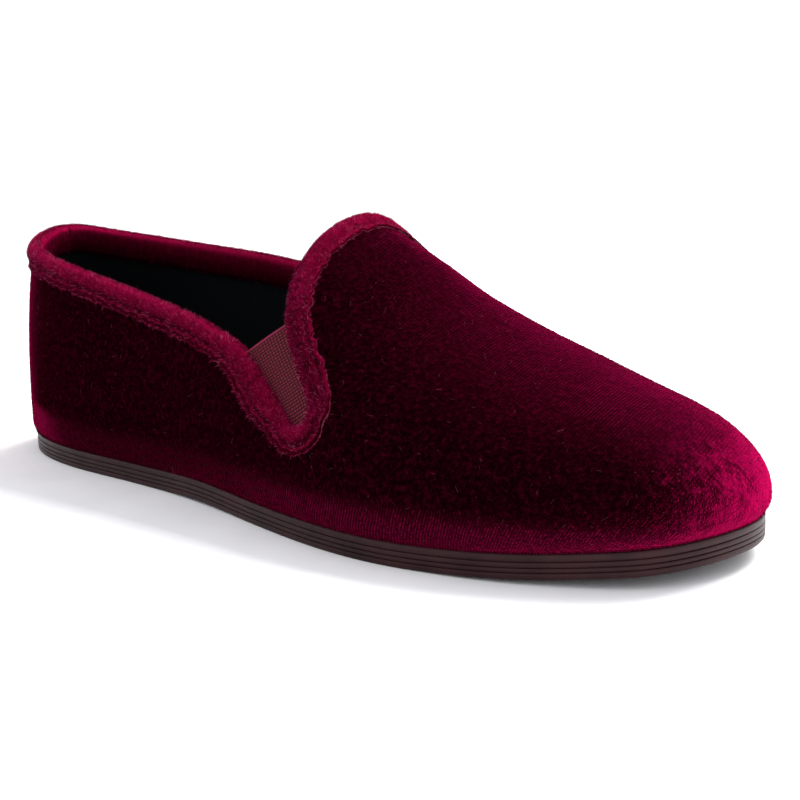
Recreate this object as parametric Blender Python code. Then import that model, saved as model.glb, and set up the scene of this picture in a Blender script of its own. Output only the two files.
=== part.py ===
"""House slipper, the right shoe of a pair, modelled as an assembly of separate pieces.

Run with: blender --background --python part.py
Axes: +X runs from heel to toe, +Y to the inner side of the foot, +Z up.
The floor is z = 0 and the origin is under the middle of the shoe.
"""

import bmesh
import bpy
import numpy as np
from mathutils import Vector
from mathutils.bvhtree import BVHTree
from mathutils.interpolate import poly_3d_calc

# Driving sizes in metres
LENGTH = 0.2500
BALL_WIDTH = 0.0903
INSTEP_HEIGHT = 0.0713
SOLE_HEIGHT = 0.0058
WALL = 0.0018
GAP = 0.0003
CLEARANCE = 0.00040
FOLD_CLEARANCE = 0.00095
UPPER_OVERHANG = 0.0009

# The line that the last's sections meet on: shares of the length, and of the ball width for its swing
HEEL_SPINE = 0.128
TOE_SPINE = 0.787
SPINE_BEND = 0.024
SPINE_SWING = 0.072
SPINE_SWING_END = 0.560

# How far the box round the shoe is off the middle of its outline
BOX_SHIFT_X = 0.0002
BOX_SHIFT_Y = 0.0002

# Plan outline of the sole: share of the length, then outer and inner half widths as shares of the ball width
OUTLINE = (
    (0.020, 0.158, 0.137),
    (0.060, 0.264, 0.241),
    (0.120, 0.330, 0.310),
    (0.200, 0.360, 0.334),
    (0.300, 0.363, 0.333),
    (0.400, 0.381, 0.340),
    (0.500, 0.423, 0.388),
    (0.600, 0.474, 0.460),
    (0.700, 0.497, 0.503),
    (0.780, 0.469, 0.483),
    (0.860, 0.409, 0.424),
    (0.930, 0.315, 0.330),
    (0.975, 0.209, 0.223),
)
TOE_TIP = 0.044

# Height of the last over the floor along its spine: share of the length, share of the instep height
RIDGE = (
    (0.00, 1.550),
    (0.35, 1.380),
    (0.45, 1.185),
    (0.55, 1.000),
    (0.60, 0.900),
    (0.65, 0.785),
    (0.75, 0.628),
    (0.85, 0.533),
    (0.93, 0.502),
    (1.00, 0.445),
)

# Roundness of the last's sections
SIDE_POWER_BACK = 1.90
SIDE_POWER_TOE = 2.22
CROWN_POWER = 1.958
BULGE_BACK = 0.045
BULGE_TOE = 0.101
FULLER_FROM = 0.52
FULLER_TO = 0.80
TUCK_DEPTH = 0.0012
TUCK_HEIGHT = 0.0030

# Underside of the sole
TOE_SPRING = 0.0043
SPRING_START = 0.72
ARCH_RISE = 0.0005
ARCH_START = 0.32
ARCH_END = 0.54

# Cut edge of the upper in side view, from behind the heel to above the instep: shares of the length
# from the heel and of the instep height
OPENING = (
    (-0.032, 0.968),
    (0.012, 0.948),
    (0.040, 0.912),
    (0.080, 0.879),
    (0.150, 0.844),
    (0.280, 0.791),
    (0.360, 0.750),
    (0.400, 0.722),
    (0.440, 0.683),
    (0.480, 0.635),
    (0.520, 0.584),
    (0.568, 0.484),
    (0.596, 0.418),
    (0.618, 0.373),
    (0.634, 0.379),
    (0.642, 0.418),
    (0.639, 0.477),
    (0.621, 0.544),
    (0.597, 0.617),
    (0.577, 0.687),
    (0.562, 0.764),
    (0.549, 0.856),
    (0.541, 0.933),
    (0.537, 0.982),
    (0.535, 1.045),
    (0.534, 1.122),
)

# Two points high over the shoe that close the cut edge's line, as the same shares
OVER_THE_SHOE = ((0.24, 2.24), (-0.32, 1.68))
CUTTER_BEHIND = 0.24
CUTTER_TOP = 1.82
CUTTER_HALF_WIDTH = 0.66

# The collar is lower over the outer ankle: slope across the shoe, and where it fades out
COLLAR_TILT = 0.080
COLLAR_TILT_START = 0.100
COLLAR_TILT_PEAK = 0.368
COLLAR_TILT_END = 0.512

# Topline binding, a folded strip: widths of its two legs, thickness and how far it stands past the edge
BINDING_THICKNESS = 0.0011
BINDING_EDGE_THICKNESS = 0.0006
BINDING_CROWN = 0.0002
BINDING_PAST_EDGE = 0.0018
BINDING_INNER_WIDTH = 0.0080
BINDING_WIDTH = 0.0062
BINDING_GORE_WIDTH = 0.0094
BINDING_STATIONS = 122

# Elastic gore
GORE_THICKNESS = 0.0012
GORE_DEPTH = 0.0006
GORE_TOP_BACK = 0.5232
GORE_TOP_FRONT = 0.5672
NOTCH_START = 0.400
NOTCH_TOP = 0.840
GORE_ROWS = 10
GORE_COLUMNS = 6

# Side of the sole, bottom to top: share of the sole's height, inset as a share of the grooves' depth
GROOVE_DEPTH = 0.0006
SOLE_SIDE = (
    (0.00, 1.00),
    (0.07, 0.17),
    (0.22, 0.00),
    (0.25, 0.83),
    (0.29, 0.00),
    (0.44, 0.00),
    (0.47, 0.83),
    (0.51, 0.00),
    (0.70, 0.00),
    (0.74, 1.00),
    (0.79, 0.17),
    (0.94, 0.17),
    (1.00, 1.00),
)

# Insole, bottom to top: share of its thickness, inset as a share of its edge's rounding
INSOLE_THICKNESS = 0.0033
INSOLE_ROUNDING = 0.0008
INSOLE_SIDE = (
    (0.00, 0.9),
    (0.50, 0.0),
    (0.85, 0.2),
    (1.00, 1.2),
)
INSOLE_DISH = 0.0010

UPPER_STATIONS = 92
UPPER_RINGS = 14
SOLE_STATIONS = 64
FINE_STATIONS = 220
FINE_RINGS = 60
CUTTER_POINTS = 100
CUTTER_RINGS = 9
CURVE_SAMPLES = 6000
LINE_SAMPLES = 2000
EDGE_SAMPLES = 1600
EDGE_SMOOTHINGS = 6
EXTRA_PER_BEND = 0.012
END_CROWDING = 0.30
MERGE_DISTANCE = 0.00005

VELVET_COLOUR = (0.085, 0.002, 0.014, 1.0)
BINDING_COLOUR = (0.160, 0.005, 0.030, 1.0)
GORE_COLOUR = (0.130, 0.028, 0.040, 1.0)
RUBBER_COLOUR = (0.055, 0.026, 0.026, 1.0)
LINING_COLOUR = (0.012, 0.013, 0.015, 1.0)


def material(name, colour, roughness):
    """Make a Principled material with one colour and roughness."""
    made = bpy.data.materials.new(name)
    made.use_nodes = True
    shader = made.node_tree.nodes["Principled BSDF"]
    shader.inputs["Base Color"].default_value = colour
    shader.inputs["Roughness"].default_value = roughness
    shader.inputs["Metallic"].default_value = 0.0
    made.diffuse_color = colour
    return made


def closed_spline(points, samples):
    """Sample a periodic cubic spline through the points, evenly in its own parameter."""
    chords = np.linalg.norm(np.roll(points, -1, axis=0) - points, axis=1)
    steps = np.sqrt(chords)
    count = len(points)
    slopes = (np.roll(points, -1, axis=0) - points) / steps[:, None]
    system = np.zeros((count, count))
    for i in range(count):
        system[i, i - 1] += steps[i - 1]
        system[i, i] += 2.0 * (steps[i - 1] + steps[i])
        system[i, (i + 1) % count] += steps[i]
    bends = np.linalg.solve(system, 6.0 * (slopes - np.roll(slopes, 1, axis=0)))
    knots = np.concatenate([[0.0], np.cumsum(steps)])
    places = np.linspace(0.0, knots[-1], samples + 1)[:-1]
    index = np.clip(np.searchsorted(knots, places, side="right") - 1, 0, count - 1)
    after = (index + 1) % count
    width = steps[index][:, None]
    t = (places - knots[index])[:, None]
    rest = width - t
    cubic = (bends[index] * rest**3 + bends[after] * t**3) / (6.0 * width)
    left = (points[index] / width - bends[index] * width / 6.0) * rest
    right = (points[after] / width - bends[after] * width / 6.0) * t
    return cubic + left + right


def monotone(table, x):
    """Interpolate a two-column table with a smooth curve that makes no new humps."""
    knots = np.array([row[0] for row in table])
    values = np.array([row[1] for row in table])
    widths = np.diff(knots)
    slopes = np.diff(values) / widths
    tangents = np.zeros(len(knots))
    for i in range(1, len(knots) - 1):
        if slopes[i - 1] * slopes[i] > 0.0:
            before = 2.0 * widths[i] + widths[i - 1]
            after = widths[i] + 2.0 * widths[i - 1]
            tangents[i] = (before + after) / (before / slopes[i - 1] + after / slopes[i])
    tangents[0] = slopes[0]
    tangents[-1] = slopes[-1]
    x = np.clip(x, knots[0], knots[-1])
    i = np.clip(np.searchsorted(knots, x, side="right") - 1, 0, len(knots) - 2)
    t = (x - knots[i]) / widths[i]
    rise = t * t * (3.0 - 2.0 * t)
    start = tangents[i] * widths[i] * t * (1.0 - t) ** 2
    end = tangents[i + 1] * widths[i] * t * t * (1.0 - t)
    return values[i] * (1.0 - rise) + values[i + 1] * rise + start - end


def resample(points, shares):
    """Place points at the given shares of a polyline's length."""
    lengths = np.linalg.norm(np.diff(points, axis=0), axis=1)
    along = np.concatenate([[0.0], np.cumsum(lengths)])
    wanted = np.asarray(shares) * along[-1]
    return np.stack([np.interp(wanted, along, points[:, k]) for k in range(points.shape[1])], axis=1)


def spaced(line, count):
    """Pick points on a fine line, closer together where it bends."""
    ahead = np.diff(line, axis=0)
    steps = np.linalg.norm(ahead, axis=1)
    heading = ahead / steps[:, None]
    turn = np.linalg.norm(np.diff(heading, axis=0, prepend=heading[:1]), axis=1)
    along = np.concatenate([[0.0], np.cumsum(steps + EXTRA_PER_BEND * turn)])
    wanted = np.linspace(0.0, along[-1], count)
    return np.stack([np.interp(wanted, along, line[:, k]) for k in range(line.shape[1])], axis=1)


def outline_sides(stations):
    """Give the two sides of the sole's outline, heel to toe, with the same number of points."""
    outer = [(share * LENGTH, -out * BALL_WIDTH) for share, out, _ in OUTLINE]
    inner = [(share * LENGTH, into * BALL_WIDTH) for share, _, into in OUTLINE]
    loop = [(0.0, 0.0)] + outer + [(LENGTH, TOE_TIP * BALL_WIDTH)] + inner[::-1]
    curve = closed_spline(np.array(loop), LINE_SAMPLES)
    tip = int(np.argmax(curve[:, 0]))
    t = np.linspace(0.0, 1.0, stations // 2 + 1)
    shares = t - END_CROWDING * np.sin(2.0 * np.pi * t) / (2.0 * np.pi)
    outer_side = resample(curve[: tip + 1], shares)
    inner_side = resample(np.concatenate([curve[tip:], curve[:1]])[::-1], shares)
    return outer_side, inner_side


def spine_swing(x):
    """Sideways place of the spine: over the middle at the heel, towards the inner side at the instep."""
    along = np.clip(x / (SPINE_SWING_END * LENGTH), 0.0, 1.0)
    return SPINE_SWING * BALL_WIDTH * along * along * (3.0 - 2.0 * along)


def spine(outer_side, inner_side):
    """Give the middle line that the sections of the last meet on, held short of both ends."""
    middle = 0.5 * (outer_side[:, 0] + inner_side[:, 0])
    share = middle / LENGTH
    held = TOE_SPINE - SPINE_BEND * np.log1p(np.exp((TOE_SPINE - share) / SPINE_BEND))
    held = HEEL_SPINE + SPINE_BEND * np.log1p(np.exp((held - HEEL_SPINE) / SPINE_BEND))
    return np.stack([held * LENGTH, spine_swing(held * LENGTH)], axis=1)


def around(stations):
    """Give the closed outline and, for each of its points, the spine point it belongs to."""
    outer_side, inner_side = outline_sides(stations)
    middle = spine(outer_side, inner_side)
    edge = np.concatenate([outer_side, inner_side[-2:0:-1]])
    centre = np.concatenate([middle, middle[-2:0:-1]])
    return edge, centre


def floor_line(x):
    """Height of the sole's underside above the floor."""
    spring = TOE_SPRING * np.clip((x / LENGTH - SPRING_START) / (1.0 - SPRING_START), 0.0, None) ** 2
    waist = np.clip((x / LENGTH - ARCH_START) / (ARCH_END - ARCH_START), 0.0, 1.0)
    return spring + ARCH_RISE * np.sin(np.pi * waist) ** 2


def collar_tilt(x):
    """Slope of the opening's edge across the shoe: nothing at the heel and at the gores."""
    stops = (COLLAR_TILT_START, COLLAR_TILT_PEAK, COLLAR_TILT_END)
    rise = np.interp(x / LENGTH, stops, (0.0, 1.0, 0.0))
    return COLLAR_TILT * rise * rise * (3.0 - 2.0 * rise)


def sole_ring(edge, centre, inset, share, height):
    """Give one ring of a flat piece: the outline, inset and drawn towards the spine."""
    ray = edge - centre
    reach = np.linalg.norm(ray, axis=1)[:, None]
    plan = centre + share * ray * (reach - inset) / reach
    level = floor_line(plan[:, 0]) + height
    return np.column_stack([plan, level])


def last_ring(edge, centre, angle):
    """Give one ring of the last's surface, from its lower edge at 0 to the spine at 90 degrees."""
    ray = edge - centre
    reach = np.linalg.norm(ray, axis=1)[:, None]
    along = np.clip((edge[:, 0] / LENGTH - FULLER_FROM) / (FULLER_TO - FULLER_FROM), 0.0, 1.0)
    fuller = along**2 * (3.0 - 2.0 * along)
    power = SIDE_POWER_BACK + (SIDE_POWER_TOE - SIDE_POWER_BACK) * fuller
    bulge = BULGE_BACK + (BULGE_TOE - BULGE_BACK) * fuller
    share = np.cos(angle) ** (2.0 / power) + bulge * np.sin(2.0 * angle) ** 1.5
    share = share[:, None]
    rise = np.sin(angle) ** (2.0 / CROWN_POWER)
    plan = centre + share * ray * (reach + UPPER_OVERHANG) / reach
    foot = floor_line(plan[:, 0]) + SOLE_HEIGHT + GAP
    crown = INSTEP_HEIGHT * monotone(RIDGE, plan[:, 0] / LENGTH)
    level = foot + (crown - foot) * rise
    tuck = TUCK_DEPTH * np.clip(1.0 - (level - foot) / TUCK_HEIGHT, 0.0, 1.0) ** 2
    plan = plan - ray / reach * tuck[:, None]
    return np.column_stack([plan, level])


def last_rings(stations, rings):
    """Give all rings of the last's surface, closer together near its lower edge."""
    edge, centre = around(stations)
    shares = np.linspace(0.0, 1.0, rings + 1)
    angles = 0.25 * np.pi * (shares + shares**2)
    return [last_ring(edge, centre, angle) for angle in angles]


class Last:
    """The smooth surface of the last, for laying pieces on it."""

    def __init__(self):
        rings = last_rings(FINE_STATIONS, FINE_RINGS)
        mesh = bmesh.new()
        stack_rings(mesh, rings)
        bmesh.ops.remove_doubles(mesh, verts=mesh.verts, dist=MERGE_DISTANCE)
        bmesh.ops.triangulate(mesh, faces=mesh.faces)
        mesh.normal_update()
        mesh.verts.ensure_lookup_table()
        mesh.faces.ensure_lookup_table()
        self.points = [vert.co.copy() for vert in mesh.verts]
        self.normals = [vert.normal.copy() for vert in mesh.verts]
        self.faces = [[vert.index for vert in face.verts] for face in mesh.faces]
        mesh.free()
        self.tree = BVHTree.FromPolygons(self.points, self.faces)

    def lift(self, point, height):
        """Move a point to its nearest place on the last, raised along the surface's normal."""
        near, _, index, _ = self.tree.find_nearest(Vector(point))
        corners = self.faces[index]
        weights = poly_3d_calc([self.points[k] for k in corners], near)
        normal = Vector((0.0, 0.0, 0.0))
        for weight, k in zip(weights, corners):
            normal += self.normals[k] * weight
        normal.normalize()
        return near + normal * float(height), normal

    def side_point(self, x, z, side):
        """Find the point of the last seen at (x, z) from one side: -1 outer, 1 inner."""
        y = float(spine_swing(x))
        tilt = float(collar_tilt(x))
        start = Vector((x, y, z + tilt * y))
        hit = self.tree.ray_cast(start, Vector((0.0, side, side * tilt)))[0]
        if hit is None or self.tree.ray_cast(start, Vector((0.0, -side, -side * tilt)))[0] is None:
            return None
        return hit


def stack_rings(mesh, rings, close=False):
    """Join rings of equally many points with quads; closed also joins the last ring to the first."""
    rows = [[mesh.verts.new(point) for point in ring] for ring in rings]
    pairs = list(zip(rows[:-1], rows[1:]))
    if close:
        pairs.append((rows[-1], rows[0]))
    count = len(rows[0])
    for lower, upper in pairs:
        for j in range(count):
            after = (j + 1) % count
            mesh.faces.new((lower[j], lower[after], upper[after], upper[j]))
    return rows


def add_object(name, mesh, finish, smooth_angle=40.0):
    """Clean a bmesh, turn it into an object centred under the shoe and shade it smooth."""
    bmesh.ops.remove_doubles(mesh, verts=mesh.verts, dist=MERGE_DISTANCE)
    bmesh.ops.dissolve_degenerate(mesh, dist=MERGE_DISTANCE * 0.2, edges=mesh.edges)
    bmesh.ops.recalc_face_normals(mesh, faces=mesh.faces)
    to_middle = (-0.5 * LENGTH - BOX_SHIFT_X, -BOX_SHIFT_Y, 0.0)
    bmesh.ops.translate(mesh, verts=mesh.verts, vec=to_middle)
    data = bpy.data.meshes.new(name)
    mesh.to_mesh(data)
    mesh.free()
    made = bpy.data.objects.new(name, data)
    made.data.materials.append(finish)
    bpy.context.scene.collection.objects.link(made)
    for polygon in data.polygons:
        polygon.use_smooth = True
    data.set_sharp_from_angle(angle=np.radians(smooth_angle))
    return made


def opening_outline(samples):
    """Give the smooth side-view line of the upper's cut edge."""
    points = np.array(OPENING) * (LENGTH, INSTEP_HEIGHT)
    over = np.array(OVER_THE_SHOE) * (LENGTH, INSTEP_HEIGHT)
    ends = np.concatenate([points, over])
    curve = closed_spline(ends, CURVE_SAMPLES)
    start = int(np.argmin(np.linalg.norm(curve - points[0], axis=1)))
    curve = np.roll(curve, -start, axis=0)
    stop = int(np.argmin(np.linalg.norm(curve - points[-1], axis=1)))
    return resample(curve[: stop + 1], np.linspace(0.0, 1.0, samples))


def build_outsole(finish):
    """Rubber sole: flat at heel and ball, arched at the waist, sprung at the toe, ribbed side."""
    edge, centre = around(SOLE_STATIONS)
    first = SOLE_SIDE[0][1] * GROOVE_DEPTH
    final = SOLE_SIDE[-1][1] * GROOVE_DEPTH
    rings = [sole_ring(edge, centre, first, share, 0.0) for share in (0.0, 0.5)]
    for height, inset in SOLE_SIDE:
        rings.append(sole_ring(edge, centre, inset * GROOVE_DEPTH, 1.0, height * SOLE_HEIGHT))
    rings += [sole_ring(edge, centre, final, share, SOLE_HEIGHT) for share in (0.5, 0.0)]
    mesh = bmesh.new()
    stack_rings(mesh, rings)
    return add_object("outsole", mesh, finish)


def build_insole(finish):
    """Footbed inside the upper, slightly dished, lying just over the sole."""
    edge, centre = around(SOLE_STATIONS)
    wall_inset = WALL + TUCK_DEPTH - UPPER_OVERHANG + GAP
    base = SOLE_HEIGHT + GAP
    rings = [sole_ring(edge, centre, wall_inset, 0.0, base)]
    for height, rounding in INSOLE_SIDE:
        inset = wall_inset + rounding * INSOLE_ROUNDING
        rings.append(sole_ring(edge, centre, inset, 1.0, base + height * INSOLE_THICKNESS))
    for share in (0.6, 0.0):
        sunk = INSOLE_THICKNESS - INSOLE_DISH * (1.0 - share**2)
        rings.append(sole_ring(edge, centre, inset, share, base + sunk))
    mesh = bmesh.new()
    stack_rings(mesh, rings)
    return add_object("insole", mesh, finish)


def build_cutter():
    """Prism through the shoe with the side-view shape of the opening."""
    line = spaced(opening_outline(LINE_SAMPLES), CUTTER_POINTS)
    behind = -CUTTER_BEHIND * LENGTH
    high = CUTTER_TOP * INSTEP_HEIGHT
    side = [(behind, high), (behind, line[0][1]), *[tuple(point) for point in line[1:]], (line[-1][0], high)]
    half = CUTTER_HALF_WIDTH * BALL_WIDTH
    rings = []
    for y in np.linspace(-half, half, CUTTER_RINGS):
        rings.append([(x, y, z + float(collar_tilt(x)) * y) for x, z in side])
    mesh = bmesh.new()
    rows = stack_rings(mesh, rings)
    for row in (rows[0], rows[-1]):
        mesh.faces.new(row)
    cutter = add_object("opening_cutter", mesh, None)
    cutter.hide_render = True
    cutter.display_type = "WIRE"
    return cutter


def build_upper(last, finish):
    """Hollow upper: an even wall over the last, open underneath and cut open for the foot."""
    outer = last_rings(UPPER_STATIONS, UPPER_RINGS)
    inner = [np.array([last.lift(point, -WALL)[0] for point in ring]) for ring in outer]
    inner[0][:, 2] = outer[0][:, 2]
    mesh = bmesh.new()
    stack_rings(mesh, outer[::-1] + inner)
    upper = add_object("upper", mesh, finish)
    cut = upper.modifiers.new("opening", "BOOLEAN")
    cut.operation = "DIFFERENCE"
    cut.solver = "EXACT"
    cut.object = build_cutter()
    return upper


def edge_path(last):
    """Follow the upper's cut edge round the whole opening, on the surface of the last."""
    line = opening_outline(LINE_SAMPLES)
    outer = [last.side_point(x, z, -1.0) for x, z in line]
    inner = [last.side_point(x, z, 1.0) for x, z in line[::-1]]
    loop = np.array([tuple(point) for point in outer + inner if point is not None])
    closed = np.concatenate([loop, loop[:1]])
    fine = resample(closed, np.linspace(0.0, 1.0, EDGE_SAMPLES + 1))[:-1]
    for _ in range(EDGE_SMOOTHINGS):
        fine = 0.25 * np.roll(fine, 1, axis=0) + 0.5 * fine + 0.25 * np.roll(fine, -1, axis=0)
    return fine


def outer_width(point, heading):
    """Width of the binding's outer leg: wider on the rear leg of each gore."""
    low = np.interp(point[2] / INSTEP_HEIGHT, (0.50, 0.65), (1.0, 0.0))
    rear = np.interp(abs(heading[0]), (0.45, 0.95), (0.0, 1.0))
    along = np.interp(point[0] / LENGTH, (0.47, 0.52, 0.59, 0.63), (0.0, 1.0, 1.0, 0.0))
    return BINDING_WIDTH + (BINDING_GORE_WIDTH - BINDING_WIDTH) * low * rear * along


def binding_profile(width):
    """Cross-section of the folded strip: distance into the material and height over the last."""
    top = CLEARANCE + BINDING_THICKNESS
    under = -WALL - CLEARANCE
    low = under - BINDING_THICKNESS
    past = BINDING_PAST_EDGE
    inner = BINDING_INNER_WIDTH
    return (
        (width, CLEARANCE),
        (width, CLEARANCE + BINDING_EDGE_THICKNESS),
        (0.6 * width, top),
        (0.2 * width, top + BINDING_CROWN),
        (-0.4 * past, 0.75 * top),
        (-0.85 * past, 0.1 * top),
        (-past, -0.5 * WALL),
        (-0.8 * past, under),
        (-0.1 * past, low),
        (inner, under - BINDING_EDGE_THICKNESS),
        (inner, under),
        (0.5 * inner, under),
        (-FOLD_CLEARANCE, under),
        (-CLEARANCE, CLEARANCE),
        (0.5 * width, CLEARANCE),
    )


def build_binding(last, finish):
    """Folded strip round the whole opening, swept along the cut edge and laid on the last."""
    loop = edge_path(last)
    path = spaced(np.concatenate([loop, loop[:1]]), BINDING_STATIONS + 1)[:-1]
    ahead = np.roll(path, -1, axis=0) - np.roll(path, 1, axis=0)
    sections = []
    for point, direction in zip(path, ahead):
        heading = Vector(direction).normalized()
        _, normal = last.lift(point, 0.0)
        inward = heading.cross(normal).normalized()
        section = []
        for distance, height in binding_profile(outer_width(point, heading)):
            spot, _ = last.lift(Vector(point) + inward * float(distance), height)
            section.append(spot)
        sections.append(section)
    mesh = bmesh.new()
    stack_rings(mesh, sections, close=True)
    return add_object("topline_binding", mesh, finish, 50.0)


def gore_edges():
    """Give the gore's back and front edges, from the bottom of the notch up."""
    line = opening_outline(LINE_SAMPLES)
    clearance = BINDING_PAST_EDGE + GAP
    ahead = np.gradient(line, axis=0)
    away = np.stack([-ahead[:, 1], ahead[:, 0]], axis=1)
    away /= np.linalg.norm(away, axis=1)[:, None]
    inset = line + clearance * away
    notch = (line[:, 0] > NOTCH_START * LENGTH) & (line[:, 1] < NOTCH_TOP * INSTEP_HEIGHT)
    first = int(np.nonzero(notch)[0][0])
    stop = int(np.nonzero(notch)[0][-1])
    low = first + int(np.argmin(inset[first:stop, 1]))
    back = inset[first:low][::-1]
    front = inset[low:stop]
    back = back[back[:, 0] >= GORE_TOP_BACK * LENGTH]
    front = front[front[:, 0] >= GORE_TOP_FRONT * LENGTH]
    return back, front


def build_gore(last, name, side, finish):
    """Elastic panel that fills the notch on one side, inside the binding's edge."""
    back, front = gore_edges()
    shares = np.linspace(0.02, 1.0, GORE_ROWS)
    back = resample(back, shares)
    front = resample(front, shares)
    mesh = bmesh.new()
    faces = []
    for depth in (GORE_DEPTH, GORE_DEPTH + GORE_THICKNESS):
        grid = []
        for start, end in zip(back, front):
            row = []
            for t in np.linspace(0.0, 1.0, GORE_COLUMNS):
                x, z = start * (1.0 - t) + end * t
                spot, _ = last.lift(last.side_point(x, z, side), -depth)
                row.append(mesh.verts.new(spot))
            grid.append(row)
        faces.append(grid)
    for grid in faces:
        for low, high in zip(grid[:-1], grid[1:]):
            for k in range(GORE_COLUMNS - 1):
                mesh.faces.new((low[k], low[k + 1], high[k + 1], high[k]))
    rims = [[*grid[0], *[row[-1] for row in grid[1:-1]], *grid[-1][::-1], *[row[0] for row in grid[-2:0:-1]]]
            for grid in faces]
    count = len(rims[0])
    for k in range(count):
        after = (k + 1) % count
        mesh.faces.new((rims[0][k], rims[0][after], rims[1][after], rims[1][k]))
    return add_object(name, mesh, finish)


def main():
    """Clear the scene and build every piece of the slipper."""
    for old in list(bpy.data.objects):
        bpy.data.objects.remove(old, do_unlink=True)
    last = Last()
    build_outsole(material("sole_rubber", RUBBER_COLOUR, 0.62))
    build_insole(material("footbed_cloth", LINING_COLOUR, 0.90))
    build_upper(last, material("body_velvet", VELVET_COLOUR, 0.85))
    build_binding(last, material("binding_velvet", BINDING_COLOUR, 0.85))
    build_gore(last, "gore_outer", -1.0, material("gore_elastic_outer", GORE_COLOUR, 0.80))
    build_gore(last, "gore_inner", 1.0, material("gore_elastic_inner", GORE_COLOUR, 0.80))


main()
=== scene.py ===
"""Looks of a velvet house slipper: velvet body, plush topline strip, elastic gores, rubber sole, studio."""

import logging
import math
from dataclasses import dataclass
from enum import Enum
from typing import Any, Optional, Sequence

import bpy
import numpy as np
from mathutils import Matrix, Vector
from mathutils.bvhtree import BVHTree
from mathutils.interpolate import poly_3d_calc


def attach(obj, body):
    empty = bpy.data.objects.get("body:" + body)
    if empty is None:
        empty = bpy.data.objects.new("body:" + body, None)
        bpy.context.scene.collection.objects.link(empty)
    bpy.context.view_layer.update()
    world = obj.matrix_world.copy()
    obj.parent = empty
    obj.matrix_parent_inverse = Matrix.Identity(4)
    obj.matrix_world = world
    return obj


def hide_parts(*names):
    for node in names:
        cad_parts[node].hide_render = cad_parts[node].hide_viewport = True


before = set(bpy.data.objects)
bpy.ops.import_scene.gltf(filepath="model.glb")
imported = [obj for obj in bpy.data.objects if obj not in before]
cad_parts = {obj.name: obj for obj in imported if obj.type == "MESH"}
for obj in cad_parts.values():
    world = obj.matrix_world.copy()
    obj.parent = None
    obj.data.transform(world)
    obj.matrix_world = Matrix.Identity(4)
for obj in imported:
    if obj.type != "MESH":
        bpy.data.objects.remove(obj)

log = logging.getLogger("slipper")

Colour = tuple[float, float, float, float]
Socket = bpy.types.NodeSocket
Span = tuple[float, float]
Table = tuple[tuple[float, ...], ...]

ROOT_BODY = "root"
CLOTH_UV = "cloth"


class Side(Enum):
    """Side of the foot; the value is the sign of Y."""

    OUTER = -1.0
    INNER = 1.0


class Framing(Enum):
    """What the camera's frame holds."""

    PHOTOGRAPH = "photograph"
    WHOLE_SHOE = "whole shoe"


# Numbers and curves


def closed_spline(points: np.ndarray, samples: int) -> np.ndarray:
    """Sample a periodic cubic spline through the points.

    Args:
        points: Corner points, one per row.
        samples: How many points to return.

    Returns:
        Points on the closed curve, evenly spaced in its own parameter.
    """
    following = np.roll(points, -1, axis=0)
    steps = np.sqrt(np.linalg.norm(following - points, axis=1))
    count = len(points)
    slopes = (following - points) / steps[:, None]
    system = np.zeros((count, count))
    for i in range(count):
        system[i, i - 1] += steps[i - 1]
        system[i, i] += 2.0 * (steps[i - 1] + steps[i])
        system[i, (i + 1) % count] += steps[i]
    bends = np.linalg.solve(system, 6.0 * (slopes - np.roll(slopes, 1, axis=0)))
    knots = np.concatenate([[0.0], np.cumsum(steps)])
    places = np.linspace(0.0, knots[-1], samples + 1)[:-1]
    index = np.clip(np.searchsorted(knots, places, side="right") - 1, 0, count - 1)
    after = (index + 1) % count
    width = steps[index][:, None]
    t = (places - knots[index])[:, None]
    rest = width - t
    cubic = (bends[index] * rest**3 + bends[after] * t**3) / (6.0 * width)
    left = (points[index] / width - bends[index] * width / 6.0) * rest
    right = (points[after] / width - bends[after] * width / 6.0) * t
    return cubic + left + right


def smooth_curve(table: Sequence[Sequence[float]], x: np.ndarray) -> np.ndarray:
    """Interpolate a two-column table with a smooth curve that makes no new humps.

    Args:
        table: Rows of place and value.
        x: Places to read.

    Returns:
        The value at each place.
    """
    knots = np.array([row[0] for row in table])
    values = np.array([row[1] for row in table])
    widths = np.diff(knots)
    slopes = np.diff(values) / widths
    tangents = np.zeros(len(knots))
    for i in range(1, len(knots) - 1):
        if slopes[i - 1] * slopes[i] > 0.0:
            before = 2.0 * widths[i] + widths[i - 1]
            after = widths[i] + 2.0 * widths[i - 1]
            tangents[i] = (before + after) / (before / slopes[i - 1] + after / slopes[i])
    tangents[0] = slopes[0]
    tangents[-1] = slopes[-1]
    x = np.clip(x, knots[0], knots[-1])
    i = np.clip(np.searchsorted(knots, x, side="right") - 1, 0, len(knots) - 2)
    t = (x - knots[i]) / widths[i]
    rise = t * t * (3.0 - 2.0 * t)
    start = tangents[i] * widths[i] * t * (1.0 - t) ** 2
    end = tangents[i + 1] * widths[i] * t * t * (1.0 - t)
    return values[i] * (1.0 - rise) + values[i + 1] * rise + start - end


def resample(points: np.ndarray, shares: np.ndarray) -> np.ndarray:
    """Place points at the given shares of a polyline's length.

    Args:
        points: The polyline.
        shares: Shares of its length, 0 to 1.

    Returns:
        One point per share.
    """
    lengths = np.linalg.norm(np.diff(points, axis=0), axis=1)
    along = np.concatenate([[0.0], np.cumsum(lengths)])
    wanted = np.asarray(shares) * along[-1]
    return np.stack([np.interp(wanted, along, points[:, k]) for k in range(points.shape[1])], axis=1)


def soften(line: np.ndarray, passes: int) -> np.ndarray:
    """Average each point of a closed line with its neighbours.

    Args:
        line: Closed line, one point per row.
        passes: How often to do it.

    Returns:
        The smoother line.
    """
    for _ in range(passes):
        line = 0.25 * np.roll(line, 1, axis=0) + 0.5 * line + 0.25 * np.roll(line, -1, axis=0)
    return line


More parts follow.
